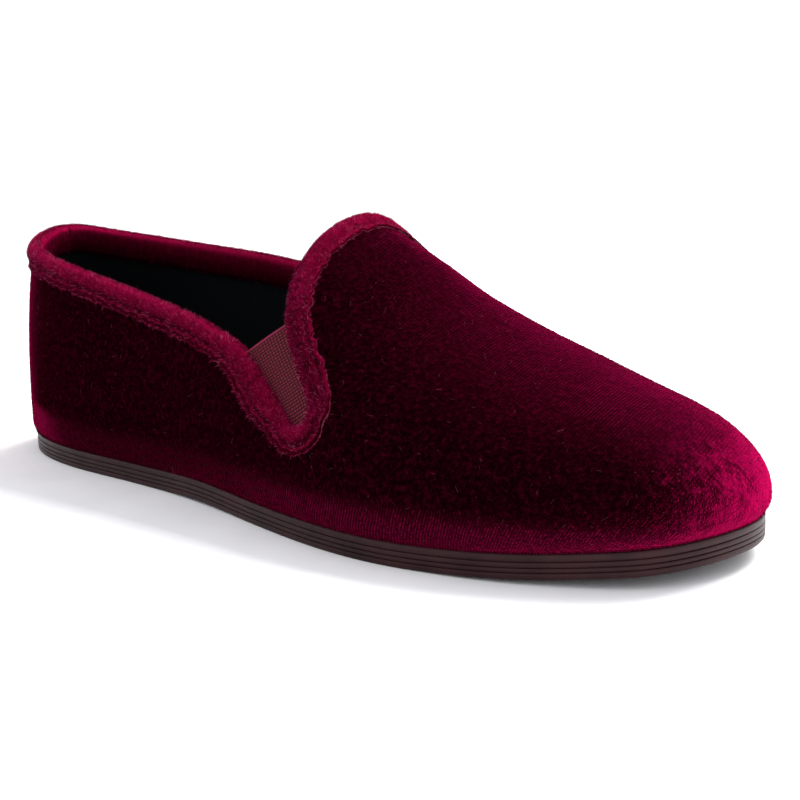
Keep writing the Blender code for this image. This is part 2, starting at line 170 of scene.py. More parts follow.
def smooth_step(low: float, high: float, x: np.ndarray) -> np.ndarray:
    """Rise smoothly from 0 at low to 1 at high."""
    t = np.clip((x - low) / (high - low), 0.0, 1.0)
    return t * t * (3.0 - 2.0 * t)


def loop_waves(count: int, seed: int, waves: Sequence[int]) -> np.ndarray:
    """Make an irregular closed wave from a few sine waves.

    Args:
        count: Points round the loop.
        seed: Start of the random phases.
        waves: How many times each sine wave repeats round the loop.

    Returns:
        Values of about -1 to 1.
    """
    rng = np.random.default_rng(seed)
    along = np.linspace(0.0, 2.0 * np.pi, count, endpoint=False)
    total = sum(np.sin(wave * along + rng.uniform(0.0, 2.0 * np.pi)) for wave in waves)
    return total / math.sqrt(len(waves)) / 1.4


def tuft_noise(points: np.ndarray, pitch: float, seed: int) -> np.ndarray:
    """Give smooth random numbers that change from tuft to tuft.

    Args:
        points: Places in space.
        pitch: Width of a tuft.
        seed: Start of the random numbers.

    Returns:
        A value of -1 to 1 for each place.
    """
    table = np.random.default_rng(seed).uniform(-1.0, 1.0, (32, 32, 32))
    place = points / pitch
    cell = np.floor(place).astype(int)
    t = place - cell
    t = t * t * (3.0 - 2.0 * t)
    total = np.zeros(len(points))
    for corner in np.ndindex(2, 2, 2):
        weight = np.prod(np.where(corner, t, 1.0 - t), axis=1)
        i, j, k = ((cell + corner) % 32).T
        total += weight * table[i, j, k]
    return total


def grid_faces(rows: int, columns: int, close_rows: bool = False, close_columns: bool = False) -> np.ndarray:
    """Number the quads of a grid of points.

    Args:
        rows: Rows of points.
        columns: Points in each row.
        close_rows: Join the last row to the first.
        close_columns: Join the last column to the first.

    Returns:
        Four point numbers per quad.
    """
    i, j = np.meshgrid(
        np.arange(rows if close_rows else rows - 1),
        np.arange(columns if close_columns else columns - 1),
        indexing="ij",
    )
    below = (i + 1) % rows
    beside = (j + 1) % columns
    corners = (i * columns + j, i * columns + beside, below * columns + beside, below * columns + j)
    return np.stack(corners, axis=-1).reshape(-1, 4)


def closed_flat(rows: int, columns: int) -> np.ndarray:
    """Number the quads of a flat piece whose first and last rings are closed along the spine.

    Args:
        rows: Rings, each from the heel along the outer side to the toe and back.
        columns: Points in each ring.

    Returns:
        Four point numbers per quad.
    """
    going = np.arange(1, columns // 2 - 1)
    across = np.column_stack([going, going + 1, columns - going - 1, columns - going])
    rings = grid_faces(rows, columns, close_columns=True)
    return np.concatenate([rings, across[:, ::-1], across + (rows - 1) * columns])


def point_normals(points: np.ndarray, faces: np.ndarray) -> np.ndarray:
    """Average the face normals round each point.

    Args:
        points: Mesh points.
        faces: Quads.

    Returns:
        Unit normals.
    """
    across = points[faces[:, 2]] - points[faces[:, 0]]
    other = points[faces[:, 3]] - points[faces[:, 1]]
    facing = np.cross(across, other)
    total = np.zeros_like(points)
    for k in range(4):
        np.add.at(total, faces[:, k], facing)
    return total / np.maximum(np.linalg.norm(total, axis=1, keepdims=True), 1e-12)


def inside_polygon(places: np.ndarray, polygon: np.ndarray) -> np.ndarray:
    """Test which places lie inside a polygon.

    Args:
        places: Points in the plane.
        polygon: Corners of the polygon.

    Returns:
        True for each place inside.
    """
    inside = np.zeros(len(places), bool)
    previous = polygon[-1]
    for corner in polygon:
        spans = (corner[1] > places[:, 1]) != (previous[1] > places[:, 1])
        rise = previous[1] - corner[1]
        if abs(rise) > 1e-12:
            cross = corner[0] + (places[:, 1] - corner[1]) * (previous[0] - corner[0]) / rise
            inside ^= spans & (places[:, 0] < cross)
        previous = corner
    return inside


# Meshes


def make_piece(
    name: str,
    points: np.ndarray,
    faces: np.ndarray,
    finish: bpy.types.Material,
    cloth: Optional[np.ndarray] = None,
    stands_for: Optional[str] = None,
    smooth: bool = True,
) -> bpy.types.Object:
    """Make one piece of the slipper and fix it to the shoe's body.

    Args:
        name: Object name.
        points: Mesh points in the row frame.
        faces: Point numbers of each face.
        finish: Material.
        cloth: Place of each point on the flat cloth, in metres.
        stands_for: CAD node that this piece replaces.
        smooth: Shade it smooth.

    Returns:
        The new object.
    """
    corners = faces.shape[1]
    used, faces = np.unique(faces, return_inverse=True)
    faces = faces.reshape(-1, corners)
    points = points[used]
    data = bpy.data.meshes.new(name)
    data.from_pydata(points.tolist(), [], faces.tolist())
    if cloth is not None:
        cloth = cloth[used]
        layer = data.uv_layers.new(name=CLOTH_UV)
        layer.data.foreach_set("uv", cloth[np.asarray(faces).ravel()].astype(np.float32).ravel())
    data.polygons.foreach_set("use_smooth", np.full(len(data.polygons), smooth))
    data.materials.append(finish)
    data.update()
    made = bpy.data.objects.new(name, data)
    bpy.context.scene.collection.objects.link(made)
    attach(made, ROOT_BODY)
    if stands_for:
        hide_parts(stands_for)
    log.info("%s: %d faces", name, len(data.polygons))
    return made


# The last


@dataclass(frozen=True)
class Last:
    """Smooth surface of the last that all cloth pieces are laid on, in the shoe's own frame."""

    length: float = 0.2500
    ball_width: float = 0.0903
    instep_height: float = 0.0713
    sole_height: float = 0.0058
    wall: float = 0.0018
    gap: float = 0.0003
    overhang: float = 0.0009
    heel_spine: float = 0.128
    toe_spine: float = 0.787
    spine_bend: float = 0.024
    spine_swing: float = 0.072
    spine_swing_end: float = 0.560
    toe_tip: float = 0.044
    side_power_back: float = 1.90
    side_power_toe: float = 2.22
    crown_power: float = 1.958
    bulge_back: float = 0.045
    bulge_toe: float = 0.101
    fuller_from: float = 0.52
    fuller_to: float = 0.80
    tuck_depth: float = 0.0012
    tuck_height: float = 0.0030
    toe_spring: float = 0.0043
    spring_start: float = 0.72
    arch_rise: float = 0.0005
    arch_start: float = 0.32
    arch_end: float = 0.54
    collar_tilt: float = 0.080
    collar_tilt_places: tuple[float, ...] = (0.100, 0.368, 0.512)
    end_crowding: float = 0.30
    box_shift: Span = (0.0002, 0.0002)
    # Share of the length, then outer and inner half widths as shares of the ball width
    outline: Table = (
        (0.020, 0.158, 0.137),
        (0.060, 0.264, 0.241),
        (0.120, 0.330, 0.310),
        (0.200, 0.360, 0.334),
        (0.300, 0.363, 0.333),
        (0.400, 0.381, 0.340),
        (0.500, 0.423, 0.388),
        (0.600, 0.474, 0.460),
        (0.700, 0.497, 0.503),
        (0.780, 0.470, 0.483),
        (0.860, 0.409, 0.424),
        (0.930, 0.314, 0.330),
        (0.975, 0.209, 0.223),
    )
    # Share of the length, height as a share of the instep height
    ridge: Table = (
        (0.00, 1.550),
        (0.35, 1.380),
        (0.45, 1.185),
        (0.55, 1.000),
        (0.60, 0.900),
        (0.65, 0.785),
        (0.75, 0.628),
        (0.85, 0.533),
        (0.93, 0.502),
        (1.00, 0.445),
    )
    # Cut edge in side view: shares of the length and of the instep height
    opening: Table = (
        (-0.032, 0.968),
        (0.012, 0.948),
        (0.040, 0.912),
        (0.080, 0.879),
        (0.150, 0.844),
        (0.280, 0.791),
        (0.360, 0.750),
        (0.400, 0.722),
        (0.437, 0.683),
        (0.475, 0.635),
        (0.514, 0.583),
        (0.562, 0.484),
        (0.590, 0.420),
        (0.612, 0.377),
        (0.628, 0.383),
        (0.636, 0.420),
        (0.633, 0.477),
        (0.615, 0.544),
        (0.591, 0.617),
        (0.571, 0.687),
        (0.556, 0.764),
        (0.544, 0.856),
        (0.538, 0.933),
        (0.5355, 0.982),
        (0.535, 1.045),
        (0.534, 1.122),
    )
    # Two places high over the shoe that close the cut edge's line, in the same shares
    over_the_shoe: Table = ((0.24, 2.24), (-0.32, 1.68))

    def to_row(self, points: np.ndarray) -> np.ndarray:
        """Shift points from the shoe's own frame, heel at 0, to the row frame."""
        return points - np.array([0.5 * self.length + self.box_shift[0], self.box_shift[1], 0.0])

    def outline_sides(self, stations: int) -> tuple[np.ndarray, np.ndarray]:
        """Give both sides of the sole's outline, heel to toe, with equally many points.

        Args:
            stations: Points round the whole outline.

        Returns:
            The outer side and the inner side.
        """
        outer = [(x * self.length, -out * self.ball_width) for x, out, _ in self.outline]
        inner = [(x * self.length, into * self.ball_width) for x, _, into in self.outline]
        loop = [(0.0, 0.0)] + outer + [(self.length, self.toe_tip * self.ball_width)] + inner[::-1]
        curve = closed_spline(np.array(loop), 4000)
        tip = int(np.argmax(curve[:, 0]))
        t = np.linspace(0.0, 1.0, stations // 2 + 1)
        shares = t - self.end_crowding * np.sin(2.0 * np.pi * t) / (2.0 * np.pi)
        outer_side = resample(curve[: tip + 1], shares)
        inner_side = resample(np.concatenate([curve[tip:], curve[:1]])[::-1], shares)
        return outer_side, inner_side

    def swing(self, x: np.ndarray) -> np.ndarray:
        """Sideways place of the spine: the middle at the heel, towards the inner side at the instep."""
        along = np.clip(x / (self.spine_swing_end * self.length), 0.0, 1.0)
        return self.spine_swing * self.ball_width * along * along * (3.0 - 2.0 * along)

    def around(self, stations: int) -> tuple[np.ndarray, np.ndarray]:
        """Give the closed outline and the spine point that each of its points belongs to.

        Args:
            stations: Points round the outline.

        Returns:
            Outline points and spine points.
        """
        outer_side, inner_side = self.outline_sides(stations)
        share = 0.5 * (outer_side[:, 0] + inner_side[:, 0]) / self.length
        bend = self.spine_bend
        held = self.toe_spine - bend * np.log1p(np.exp((self.toe_spine - share) / bend))
        held = self.heel_spine + bend * np.log1p(np.exp((held - self.heel_spine) / bend))
        middle = np.stack([held * self.length, self.swing(held * self.length)], axis=1)
        edge = np.concatenate([outer_side, inner_side[-2:0:-1]])
        centre = np.concatenate([middle, middle[-2:0:-1]])
        return edge, centre

    def floor_line(self, x: np.ndarray) -> np.ndarray:
        """Give the height of the sole's underside above the floor.

        Args:
            x: Distances from the heel.

        Returns:
            Heights.
        """
        along = x / self.length
        lifted = np.clip((along - self.spring_start) / (1.0 - self.spring_start), 0.0, None)
        spring = self.toe_spring * lifted**2
        waist = np.clip((along - self.arch_start) / (self.arch_end - self.arch_start), 0.0, 1.0)
        return spring + self.arch_rise * np.sin(np.pi * waist) ** 2

    def edge_tilt(self, x: np.ndarray) -> np.ndarray:
        """Slope of the opening's edge across the shoe: nothing at the heel and at the gores."""
        rise = np.interp(x / self.length, self.collar_tilt_places, (0.0, 1.0, 0.0))
        return self.collar_tilt * rise * rise * (3.0 - 2.0 * rise)

    def flat_ring(
        self, edge: np.ndarray, centre: np.ndarray, inset: float, share: float, height: float
    ) -> np.ndarray:
        """Give one ring of a flat piece, such as the sole.

        Args:
            edge: Outline points.
            centre: Spine points.
            inset: How far inside the outline.
            share: 1 at the edge, 0 at the spine.
            height: Height over the underside of the sole.

        Returns:
            Ring of points.
        """
        ray = edge - centre
        reach = np.linalg.norm(ray, axis=1)[:, None]
        plan = centre + share * ray * (reach - inset) / reach
        return np.column_stack([plan, self.floor_line(plan[:, 0]) + height])

    def ring(self, edge: np.ndarray, centre: np.ndarray, angle: float) -> np.ndarray:
        """Give one ring of the last, from its lower edge at 0 to the spine at a right angle.

        Args:
            edge: Outline points.
            centre: Spine points.
            angle: Angle of the ring.

        Returns:
            Ring of points.
        """
        ray = edge - centre
        reach = np.linalg.norm(ray, axis=1)[:, None]
        fuller = smooth_step(self.fuller_from, self.fuller_to, edge[:, 0] / self.length)
        power = self.side_power_back + (self.side_power_toe - self.side_power_back) * fuller
        bulge = self.bulge_back + (self.bulge_toe - self.bulge_back) * fuller
        share = (np.cos(angle) ** (2.0 / power) + bulge * np.sin(2.0 * angle) ** 1.5)[:, None]
        rise = np.sin(angle) ** (2.0 / self.crown_power)
        plan = centre + share * ray * (reach + self.overhang) / reach
        foot = self.floor_line(plan[:, 0]) + self.sole_height + self.gap
        crown = self.instep_height * smooth_curve(self.ridge, plan[:, 0] / self.length)
        level = foot + (crown - foot) * rise
        tuck = self.tuck_depth * np.clip(1.0 - (level - foot) / self.tuck_height, 0.0, 1.0) ** 2
        plan = plan - ray / reach * tuck[:, None]
        return np.column_stack([plan, level])

    def rings(self, stations: int, count: int) -> np.ndarray:
        """Give all rings of the last, closer together near its lower edge.

        Args:
            stations: Points in each ring.
            count: Steps from the lower edge to the spine.

        Returns:
            Array of rings, points and coordinates.
        """
        edge, centre = self.around(stations)
        shares = np.linspace(0.0, 1.0, count + 1)
        angles = 0.25 * np.pi * (shares + shares**2)
        return np.stack([self.ring(edge, centre, angle) for angle in angles])

    def opening_line(self, samples: int) -> np.ndarray:
        """Give the smooth side-view line of the cut edge.

        Args:
            samples: How many points.

        Returns:
            Points from behind the heel to over the instep.
        """
        scale = np.array([self.length, self.instep_height])
        points = np.array(self.opening) * scale
        curve = closed_spline(np.concatenate([points, np.array(self.over_the_shoe) * scale]), 6000)
        start = int(np.argmin(np.linalg.norm(curve - points[0], axis=1)))
        curve = np.roll(curve, -start, axis=0)
        stop = int(np.argmin(np.linalg.norm(curve - points[-1], axis=1)))
        return resample(curve[: stop + 1], np.linspace(0.0, 1.0, samples))

    def outside_opening(self, points: np.ndarray) -> np.ndarray:
        """Tell which points of the last the upper covers.

        Args:
            points: Points in the shoe's frame.

        Returns:
            True where there is cloth.
        """
        line = self.opening_line(900)
        high = 3.0 * self.instep_height
        behind = -self.length
        polygon = np.concatenate([line, [[line[-1, 0], high], [behind, high], [behind, line[0, 1]]]])
        level = points[:, 2] - self.edge_tilt(points[:, 0]) * points[:, 1]
        return ~inside_polygon(np.column_stack([points[:, 0], level]), polygon)


class LastSurface:
    """Fine mesh of the last that can be asked for its nearest place."""

    def __init__(self, last: Last, stations: int = 360, rings: int = 90) -> None:
        """Build the search tree.

        Args:
            last: The last.
            stations: Points in each ring.
            rings: Rings of the mesh.
        """
        self.last = last
        grid = last.rings(stations, rings)
        self.points = grid.reshape(-1, 3)
        quads = grid_faces(rings + 1, stations, close_columns=True)
        self.normals = point_normals(self.points, quads)
        self.corners = np.concatenate([quads[:, (0, 1, 2)], quads[:, (0, 2, 3)]])
        edges = self.points[self.corners]
        area = np.linalg.norm(np.cross(edges[:, 1] - edges[:, 0], edges[:, 2] - edges[:, 0]), axis=1)
        self.corners = self.corners[area > 1e-12]
        if self.normals[stations // 4][1] > 0.0:
            self.normals = -self.normals
        self.tree = BVHTree.FromPolygons(self.points.tolist(), self.corners.tolist())

    def nearest(self, point: Vector) -> tuple[Vector, Vector]:
        """Find the nearest place on the last.

        Args:
            point: Any point near the last.

        Returns:
            The place and its smooth normal.
        """
        near, _, index, _ = self.tree.find_nearest(point)
        corners = self.corners[index]
        weights = poly_3d_calc([Vector(self.points[k]) for k in corners], near)
        normal = sum((Vector(self.normals[k]) * weight for weight, k in zip(weights, corners)), Vector())
        return near, normal.normalized()

    def lift(self, points: np.ndarray, heights: np.ndarray) -> tuple[np.ndarray, np.ndarray]:
        """Move points to their nearest places, each raised by its height.

        Args:
            points: Points near the last.
            heights: Height over the last of each point.

        Returns:
            New points and their normals.
        """
        places = np.empty_like(points)
        normals = np.empty_like(points)
        for k, point in enumerate(points):
            near, normal = self.nearest(Vector(point))
            places[k] = near
            normals[k] = normal
        return places + normals * np.asarray(heights)[:, None], normals

    def seen_from(self, x: float, z: float, side: Side) -> Optional[Vector]:
        """Find the point of the last seen at a place of the side view.

        Args:
            x: Distance from the heel.
            z: Height.
            side: Side of the foot.

        Returns:
            The point, or None where the line passes over the last.
        """
        y = float(self.last.swing(np.float64(x)))
        tilt = float(self.last.edge_tilt(np.float64(x)))
        start = Vector((x, y, z + tilt * y))
        other = -side.value
        hit = self.tree.ray_cast(start, Vector((0.0, side.value, side.value * tilt)))[0]
        if hit is None or self.tree.ray_cast(start, Vector((0.0, other, other * tilt)))[0] is None:
            return None
        return hit


# Materials


class Shader:
    """A new material's node tree, with short ways to add nodes."""

    def __init__(self, name: str) -> None:
        """Make the material.

        Args:
            name: Material name.
        """
        self.material = bpy.data.materials.new(name)
        self.material.use_nodes = True
        self.tree = self.material.node_tree
        self.surface = self.tree.nodes["Principled BSDF"]

    def add(self, kind: str, inputs: Optional[dict[str, Any]] = None, **settings: Any) -> bpy.types.Node:
        """Add a node.

        Args:
            kind: Node type without its ShaderNode prefix.
            inputs: Socket names or numbers and their values or the sockets that feed them.
            **settings: Properties of the node.

        Returns:
            The node.
        """
        node = self.tree.nodes.new("ShaderNode" + kind)
        for key, value in settings.items():
            setattr(node, key, value)
        for key, value in (inputs or {}).items():
            self.feed(node.inputs[key], value)
        return node

    def feed(self, socket: Socket, value: Any) -> None:
        """Link a socket to another, or set its value.

        Args:
            socket: Socket to feed.
            value: Another socket, or a number, colour or vector.
        """
        if isinstance(value, bpy.types.NodeSocket):
            self.tree.links.new(value, socket)
        else:
            socket.default_value = value

    def math(self, operation: str, first: Any, second: Any = 0.0, clamp: bool = False) -> Socket:
        """Join two values or sockets with a math node and return its output."""
        return self.add("Math", {0: first, 1: second}, operation=operation, use_clamp=clamp).outputs[0]

    def noise(self, vector: Socket, scale: float, detail: float = 2.0, roughness: float = 0.5) -> Socket:
        """Add a noise texture and return its factor."""
        wanted = {"Vector": vector, "Scale": scale, "Detail": detail, "Roughness": roughness}
        return self.add("TexNoise", wanted).outputs["Fac"]

    def scaled(self, value: Socket, factor: float, offset: float) -> Socket:
        """Multiply a value by a factor and add an offset."""
        node = self.add("Math", {0: value, 1: factor, 2: offset}, operation="MULTIPLY_ADD")
        return node.outputs[0]

    def rise(self, value: Socket, low: float, high: float) -> Socket:
        """Rise smoothly from 0 where the value is low to 1 where it is high."""
        wanted = {"Value": value, "From Min": low, "From Max": high}
        return self.add("MapRange", wanted, interpolation_type="SMOOTHSTEP").outputs["Result"]

    def ramp(self, factor: Socket, stops: Sequence[tuple[float, Colour]]) -> Socket:
        """Turn a factor into a colour.

        Args:
            factor: Input value.
            stops: Places and colours, in order.

        Returns:
            Colour socket.
        """
        node = self.add("ValToRGB", {"Fac": factor})
        elements = node.color_ramp.elements
        while len(elements) < len(stops):
            elements.new(0.5)
        for element, (place, colour) in zip(elements, stops):
            element.position = place
            element.color = colour
        return node.outputs["Color"]

    def mix(self, factor: Any, first: Any, second: Any) -> Socket:
        """Mix two colours.

        Args:
            factor: Share of the second one.
            first: Colour or its socket.
            second: Colour or its socket.

        Returns:
            Colour socket.
        """
        # The mix node has one pair of inputs for each kind of data, and the colours are the fourth pair
        node = self.add("Mix", {0: factor}, data_type="RGBA")
        self.feed(node.inputs[6], first)
        self.feed(node.inputs[7], second)
        return node.outputs[2]

    def bump(
        self, height: Socket, distance: float, strength: float = 1.0, below: Optional[Socket] = None
    ) -> Socket:
        """Add a bump node and return its normal.

        Args:
            height: Height, 0 to 1.
            distance: Depth in metres of a height of 1.
            strength: Share of the bump that shows.
            below: Normal that this one adds to.

        Returns:
            Normal socket.
        """
        inputs = {"Height": height, "Distance": distance, "Strength": strength}
        if below is not None:
            inputs["Normal"] = below
        return self.add("Bump", inputs).outputs["Normal"]

    def leaning_normal(self, lean: Socket) -> Socket:
        """Tilt the surface's normal along the cloth, as a pile that lies towards the toe does."""
        along = self.add("Tangent", direction_type="UV_MAP", uv_map=CLOTH_UV).outputs[0]
        return self.tilted(self.add("VectorMath", {0: along, 3: lean}, operation="SCALE").outputs[0])

    def sideways_normal(self, lean: Socket) -> Socket:
        """Tilt the surface's normal across a strip, as a pile that lies towards its fold does.

        Args:
            lean: How far it leans.

        Returns:
            Normal socket.
        """
        along = self.add("Tangent", direction_type="UV_MAP", uv_map=CLOTH_UV).outputs[0]
        straight = self.add("NewGeometry").outputs["Normal"]
        across = self.add("VectorMath", {0: straight, 1: along}, operation="CROSS_PRODUCT").outputs[0]
        return self.tilted(self.add("VectorMath", {0: across, 3: lean}, operation="SCALE").outputs[0])

    def tilted(self, tilt: Socket) -> Socket:
        """Add a tilt to the surface's normal.

        Args:
            tilt: What to add.

        Returns:
            Normal socket.
        """
        straight = self.add("NewGeometry").outputs["Normal"]
        total = self.add("VectorMath", {0: straight, 1: tilt}, operation="ADD").outputs[0]
        return self.add("VectorMath", {0: total}, operation="NORMALIZE").outputs[0]

    def cloth_place(self) -> Socket:
        """Give the place on the flat cloth, in metres."""
        return self.add("UVMap", uv_map=CLOTH_UV).outputs["UV"]

    def shoe_place(self) -> Socket:
        """Give the place in the shoe's frame, in metres."""
        return self.add("TexCoord").outputs["Object"]

    def parts(self, vector: Socket) -> tuple[Socket, Socket, Socket]:
        """Split a vector into its three numbers."""
        outputs = self.add("SeparateXYZ", {"Vector": vector}).outputs
        return outputs[0], outputs[1], outputs[2]

    def finish(self, colour: Any, normal: Optional[Socket] = None, **sockets: Any) -> bpy.types.Material:
        """Set the surface and return the material.

        Args:
            colour: Base colour or its socket.
            normal: Normal socket.
            **sockets: Other sockets of the surface, with _ for spaces.

        Returns:
            The finished material.
        """
        self.feed(self.surface.inputs["Base Color"], colour)
        if normal is not None:
            self.feed(self.surface.inputs["Normal"], normal)
        for key, value in sockets.items():
            self.feed(self.surface.inputs[key.replace("_", " ")], value)
        return self.material


@dataclass(frozen=True)
class VelvetFinish:
    """Short-pile ribbed velvet: nearly black where it faces the eye, bright crimson at a slant."""

    name: str = "body_velvet"
    # Ramp colours: the patch noise picks among them as the pile's own mottle, and the ribs add painted shade
    # in their valleys and a painted highlight on their crests
    valley: Colour = (0.0024, 0.0001, 0.0005, 1.0)
    middle: Colour = (0.0085, 0.0002, 0.0016, 1.0)
    crest: Colour = (0.0280, 0.0006, 0.0052, 1.0)
    # Painted sheen of the band above the sole
    painted_band_sheen: Colour = (0.1500, 0.0024, 0.0270, 1.0)
    # Painted highlight on the toe's side that faces the light
    painted_toe_light: Colour = (0.2100, 0.0006, 0.0330, 1.0)
    sheen: Colour = (1.0, 0.008, 0.160, 1.0)
    nap_grain: float = 2600.0
    patch_grain: float = 850.0
    dent_grain: float = 260.0
    crush_grain: float = 42.0
    # Top and fade of the painted sheen band above the sole
    band_top: float = 0.0148
    band_fade: float = 0.0040
    rib_pitch: float = 0.00080
    rib_slant: float = 0.222
    rib_bow: float = 3.49
    rib_drift: float = 0.0012
    drift_grain: float = 70.0
    rib_depth: float = 0.000140
    nap_depth: float = 0.00016
    patch_depth: float = 0.00032
    crush_depth: float = 0.0009
    dent_depth: float = 0.0006
    pile_lean: float = 0.52
    # How far forward the brushed front begins, and how far down
    front_along: Span = (0.074, 0.096)
    front_down: Span = (0.030, 0.018)
    seam_half_width: float = 0.0004
    seam_front: float = -0.100
    seam_depth: float = 0.0005

    def build(self) -> bpy.types.Material:
        """Make the material.

        Returns:
            The velvet.
        """
        s = Shader(self.name)
        cloth = s.cloth_place()
        place = s.shoe_place()
        x, y, z = s.parts(place)
        rib = self.ribs(s, cloth)
        nap = s.noise(place, self.nap_grain, 2.0, 0.7)
        patches = s.noise(place, self.patch_grain, 3.0, 0.62)
        dents = s.noise(place, self.dent_grain, 3.0, 0.6)
        front = s.math("MULTIPLY", s.rise(x, *self.front_along), s.rise(z, *self.front_down))
        crush = s.noise(cloth, self.crush_grain, 3.0, 0.5)
        middle = s.rise(s.math("ABSOLUTE", y), 0.034, 0.010)
        near_middle = s.math("MULTIPLY", middle, s.scaled(dents, 1.6, 0.1))
        # Painted shade and highlight on the ribs, only where they catch the light: along the middle, low down
        # and more towards the toe, less at the front
        seen = s.scaled(s.math("MAXIMUM", near_middle, s.rise(z, 0.018, 0.013)), 0.88, 0.12)
        seen = s.math("MULTIPLY", seen, s.scaled(front, -0.92, 1.0))
        stronger = s.scaled(s.rise(x, 0.075, 0.100), 0.4, 0.9)
        ridges = s.math("MULTIPLY", rib, s.math("MULTIPLY", seen, stronger))
        rib_shade_and_mottle = s.math("MULTIPLY", ridges, s.math("ADD", nap, 0.25))
        rib_shade_and_mottle = s.math("ADD", s.math("MULTIPLY", rib_shade_and_mottle, 0.13), s.scaled(patches, 0.90, 0.03))
        colour = s.ramp(rib_shade_and_mottle, ((0.42, self.valley), (0.53, self.middle), (0.70, self.crest)))
        # Painted sheen: a band above the sole is painted lighter, as the floor's light would light it
        low = self.painted_band_sheen_share(s, x, z, rib, patches, nap)
        colour = s.mix(low, colour, self.painted_band_sheen)
        mottle = s.math("ADD", s.scaled(dents, 0.070, -0.035), s.scaled(patches, 0.050, -0.025))
        # Painted highlight: the toe's front right, which faces the light, is painted lighter, less so near
        # the floor
        toe = s.math("MULTIPLY", self.painted_toe_light_share(s, x, y, mottle, nap), s.rise(z, 0.034, 0.019))
        toe = s.math("MULTIPLY", toe, s.scaled(s.rise(z, 0.008, 0.014), 0.75, 0.25))
        colour = s.mix(toe, colour, self.painted_toe_light)
        lean = s.scaled(s.math("MULTIPLY", front, s.rise(z, 0.017, 0.008)), -0.40, self.pile_lean)
        normal = s.bump(crush, self.crush_depth, 0.5, s.leaning_normal(lean))
        dented = s.math("MULTIPLY", dents, s.scaled(front, 0.55, 0.45))
        normal = s.bump(dented, self.dent_depth, 0.5, normal)
        rough_nap = s.math("MULTIPLY", patches, s.scaled(front, 1.3, 1.2))
        normal = s.bump(rough_nap, self.patch_depth, 0.5, normal)
        normal = s.bump(s.math("MULTIPLY", nap, s.scaled(front, 1.2, 1.0)), self.nap_depth, 0.8, normal)
        normal = s.bump(ridges, self.rib_depth, 1.0, normal)
        normal = s.bump(self.back_seam(s, x, y), self.seam_depth, 1.0, normal)
        return s.finish(
            colour,
            normal,
            Roughness=0.85,
            Specular_IOR_Level=0.0,
            Sheen_Weight=1.0,
            Sheen_Roughness=0.30,
            Sheen_Tint=self.sheen,
        )

    def ribs(self, s: Shader, cloth: Socket) -> Socket:
        """Make the fine ribs of the cloth, which bow down at the shoe's sides.

        Args:
            s: Shader to add to.
            cloth: Place on the flat cloth.

        Returns:
            Height of the ribs, 0 to 1.
        """
        along, across, _ = s.parts(cloth)
        drift = s.math("MULTIPLY", s.noise(cloth, self.drift_grain), self.rib_drift)
        bow = s.math("MULTIPLY", across, s.scaled(across, self.rib_bow, self.rib_slant))
        phase = s.math("ADD", s.math("ADD", along, bow), drift)
        turns = s.math("MULTIPLY", phase, 2.0 * math.pi / self.rib_pitch)
        return s.scaled(s.math("SINE", turns), 0.5, 0.5)

    def painted_band_sheen_share(
        self, s: Shader, x: Socket, z: Socket, rib: Socket, patches: Socket, nap: Socket
    ) -> Socket:
        """Find the band above the sole that is painted lighter, a painted sheen standing in for the floor's
        light on the tucked wall, with the ribs showing in it.

        Args:
            s: Shader to add to.
            x: Place along the shoe.
            z: Height.
            rib: Height of the ribs.
            patches: Noise of the crushed patches.
            nap: Noise of the pile.

        Returns:
            Share of the painted band sheen.
        """
        height = s.math("ADD", z, s.scaled(patches, 0.014, -0.007))
        below = s.rise(height, self.band_top, self.band_top - self.band_fade)
        share = s.math("MULTIPLY", below, s.scaled(rib, 0.8, 0.2))
        share = s.math("MULTIPLY", share, s.rise(nap, 0.36, 0.64))
        return s.math("MULTIPLY", share, s.scaled(s.rise(x, -0.020, 0.050), 0.7, 0.3))

    def painted_toe_light_share(self, s: Shader, x: Socket, y: Socket, mottle: Socket, nap: Socket) -> Socket:
        """Find where the toe is painted lighter, a painted highlight on the side that faces the light from
        behind and to the right.

        Args:
            s: Shader to add to.
            x: Place along the shoe.
            y: Place across the shoe.
            mottle: How far the edge of the painted highlight wanders.
            nap: Noise of the pile.

        Returns:
            Share of the painted toe highlight.
        """
        slant = s.math("ADD", s.scaled(x, 0.6, 0.0), s.scaled(y, 0.8, 0.0))
        share = s.rise(s.math("ADD", slant, mottle), 0.056, 0.088)
        share = s.math("MULTIPLY", share, s.rise(x, 0.095, 0.124))
        return s.math("MULTIPLY", share, s.scaled(nap, 1.2, 0.4), clamp=True)

    def back_seam(self, s: Shader, x: Socket, y: Socket) -> Socket:
        """Press in the seam that closes the upper at the heel.

        Args:
            s: Shader to add to.
            x: Place along the shoe.
            y: Place across the shoe.

        Returns:
            Height, 0 in the seam and 1 beside it.
        """
        beside = s.rise(s.math("ABSOLUTE", y), 0.25 * self.seam_half_width, 2.0 * self.seam_half_width)
        ahead = s.rise(x, self.seam_front, self.seam_front + 0.002)
        return s.math("MAXIMUM", beside, ahead)


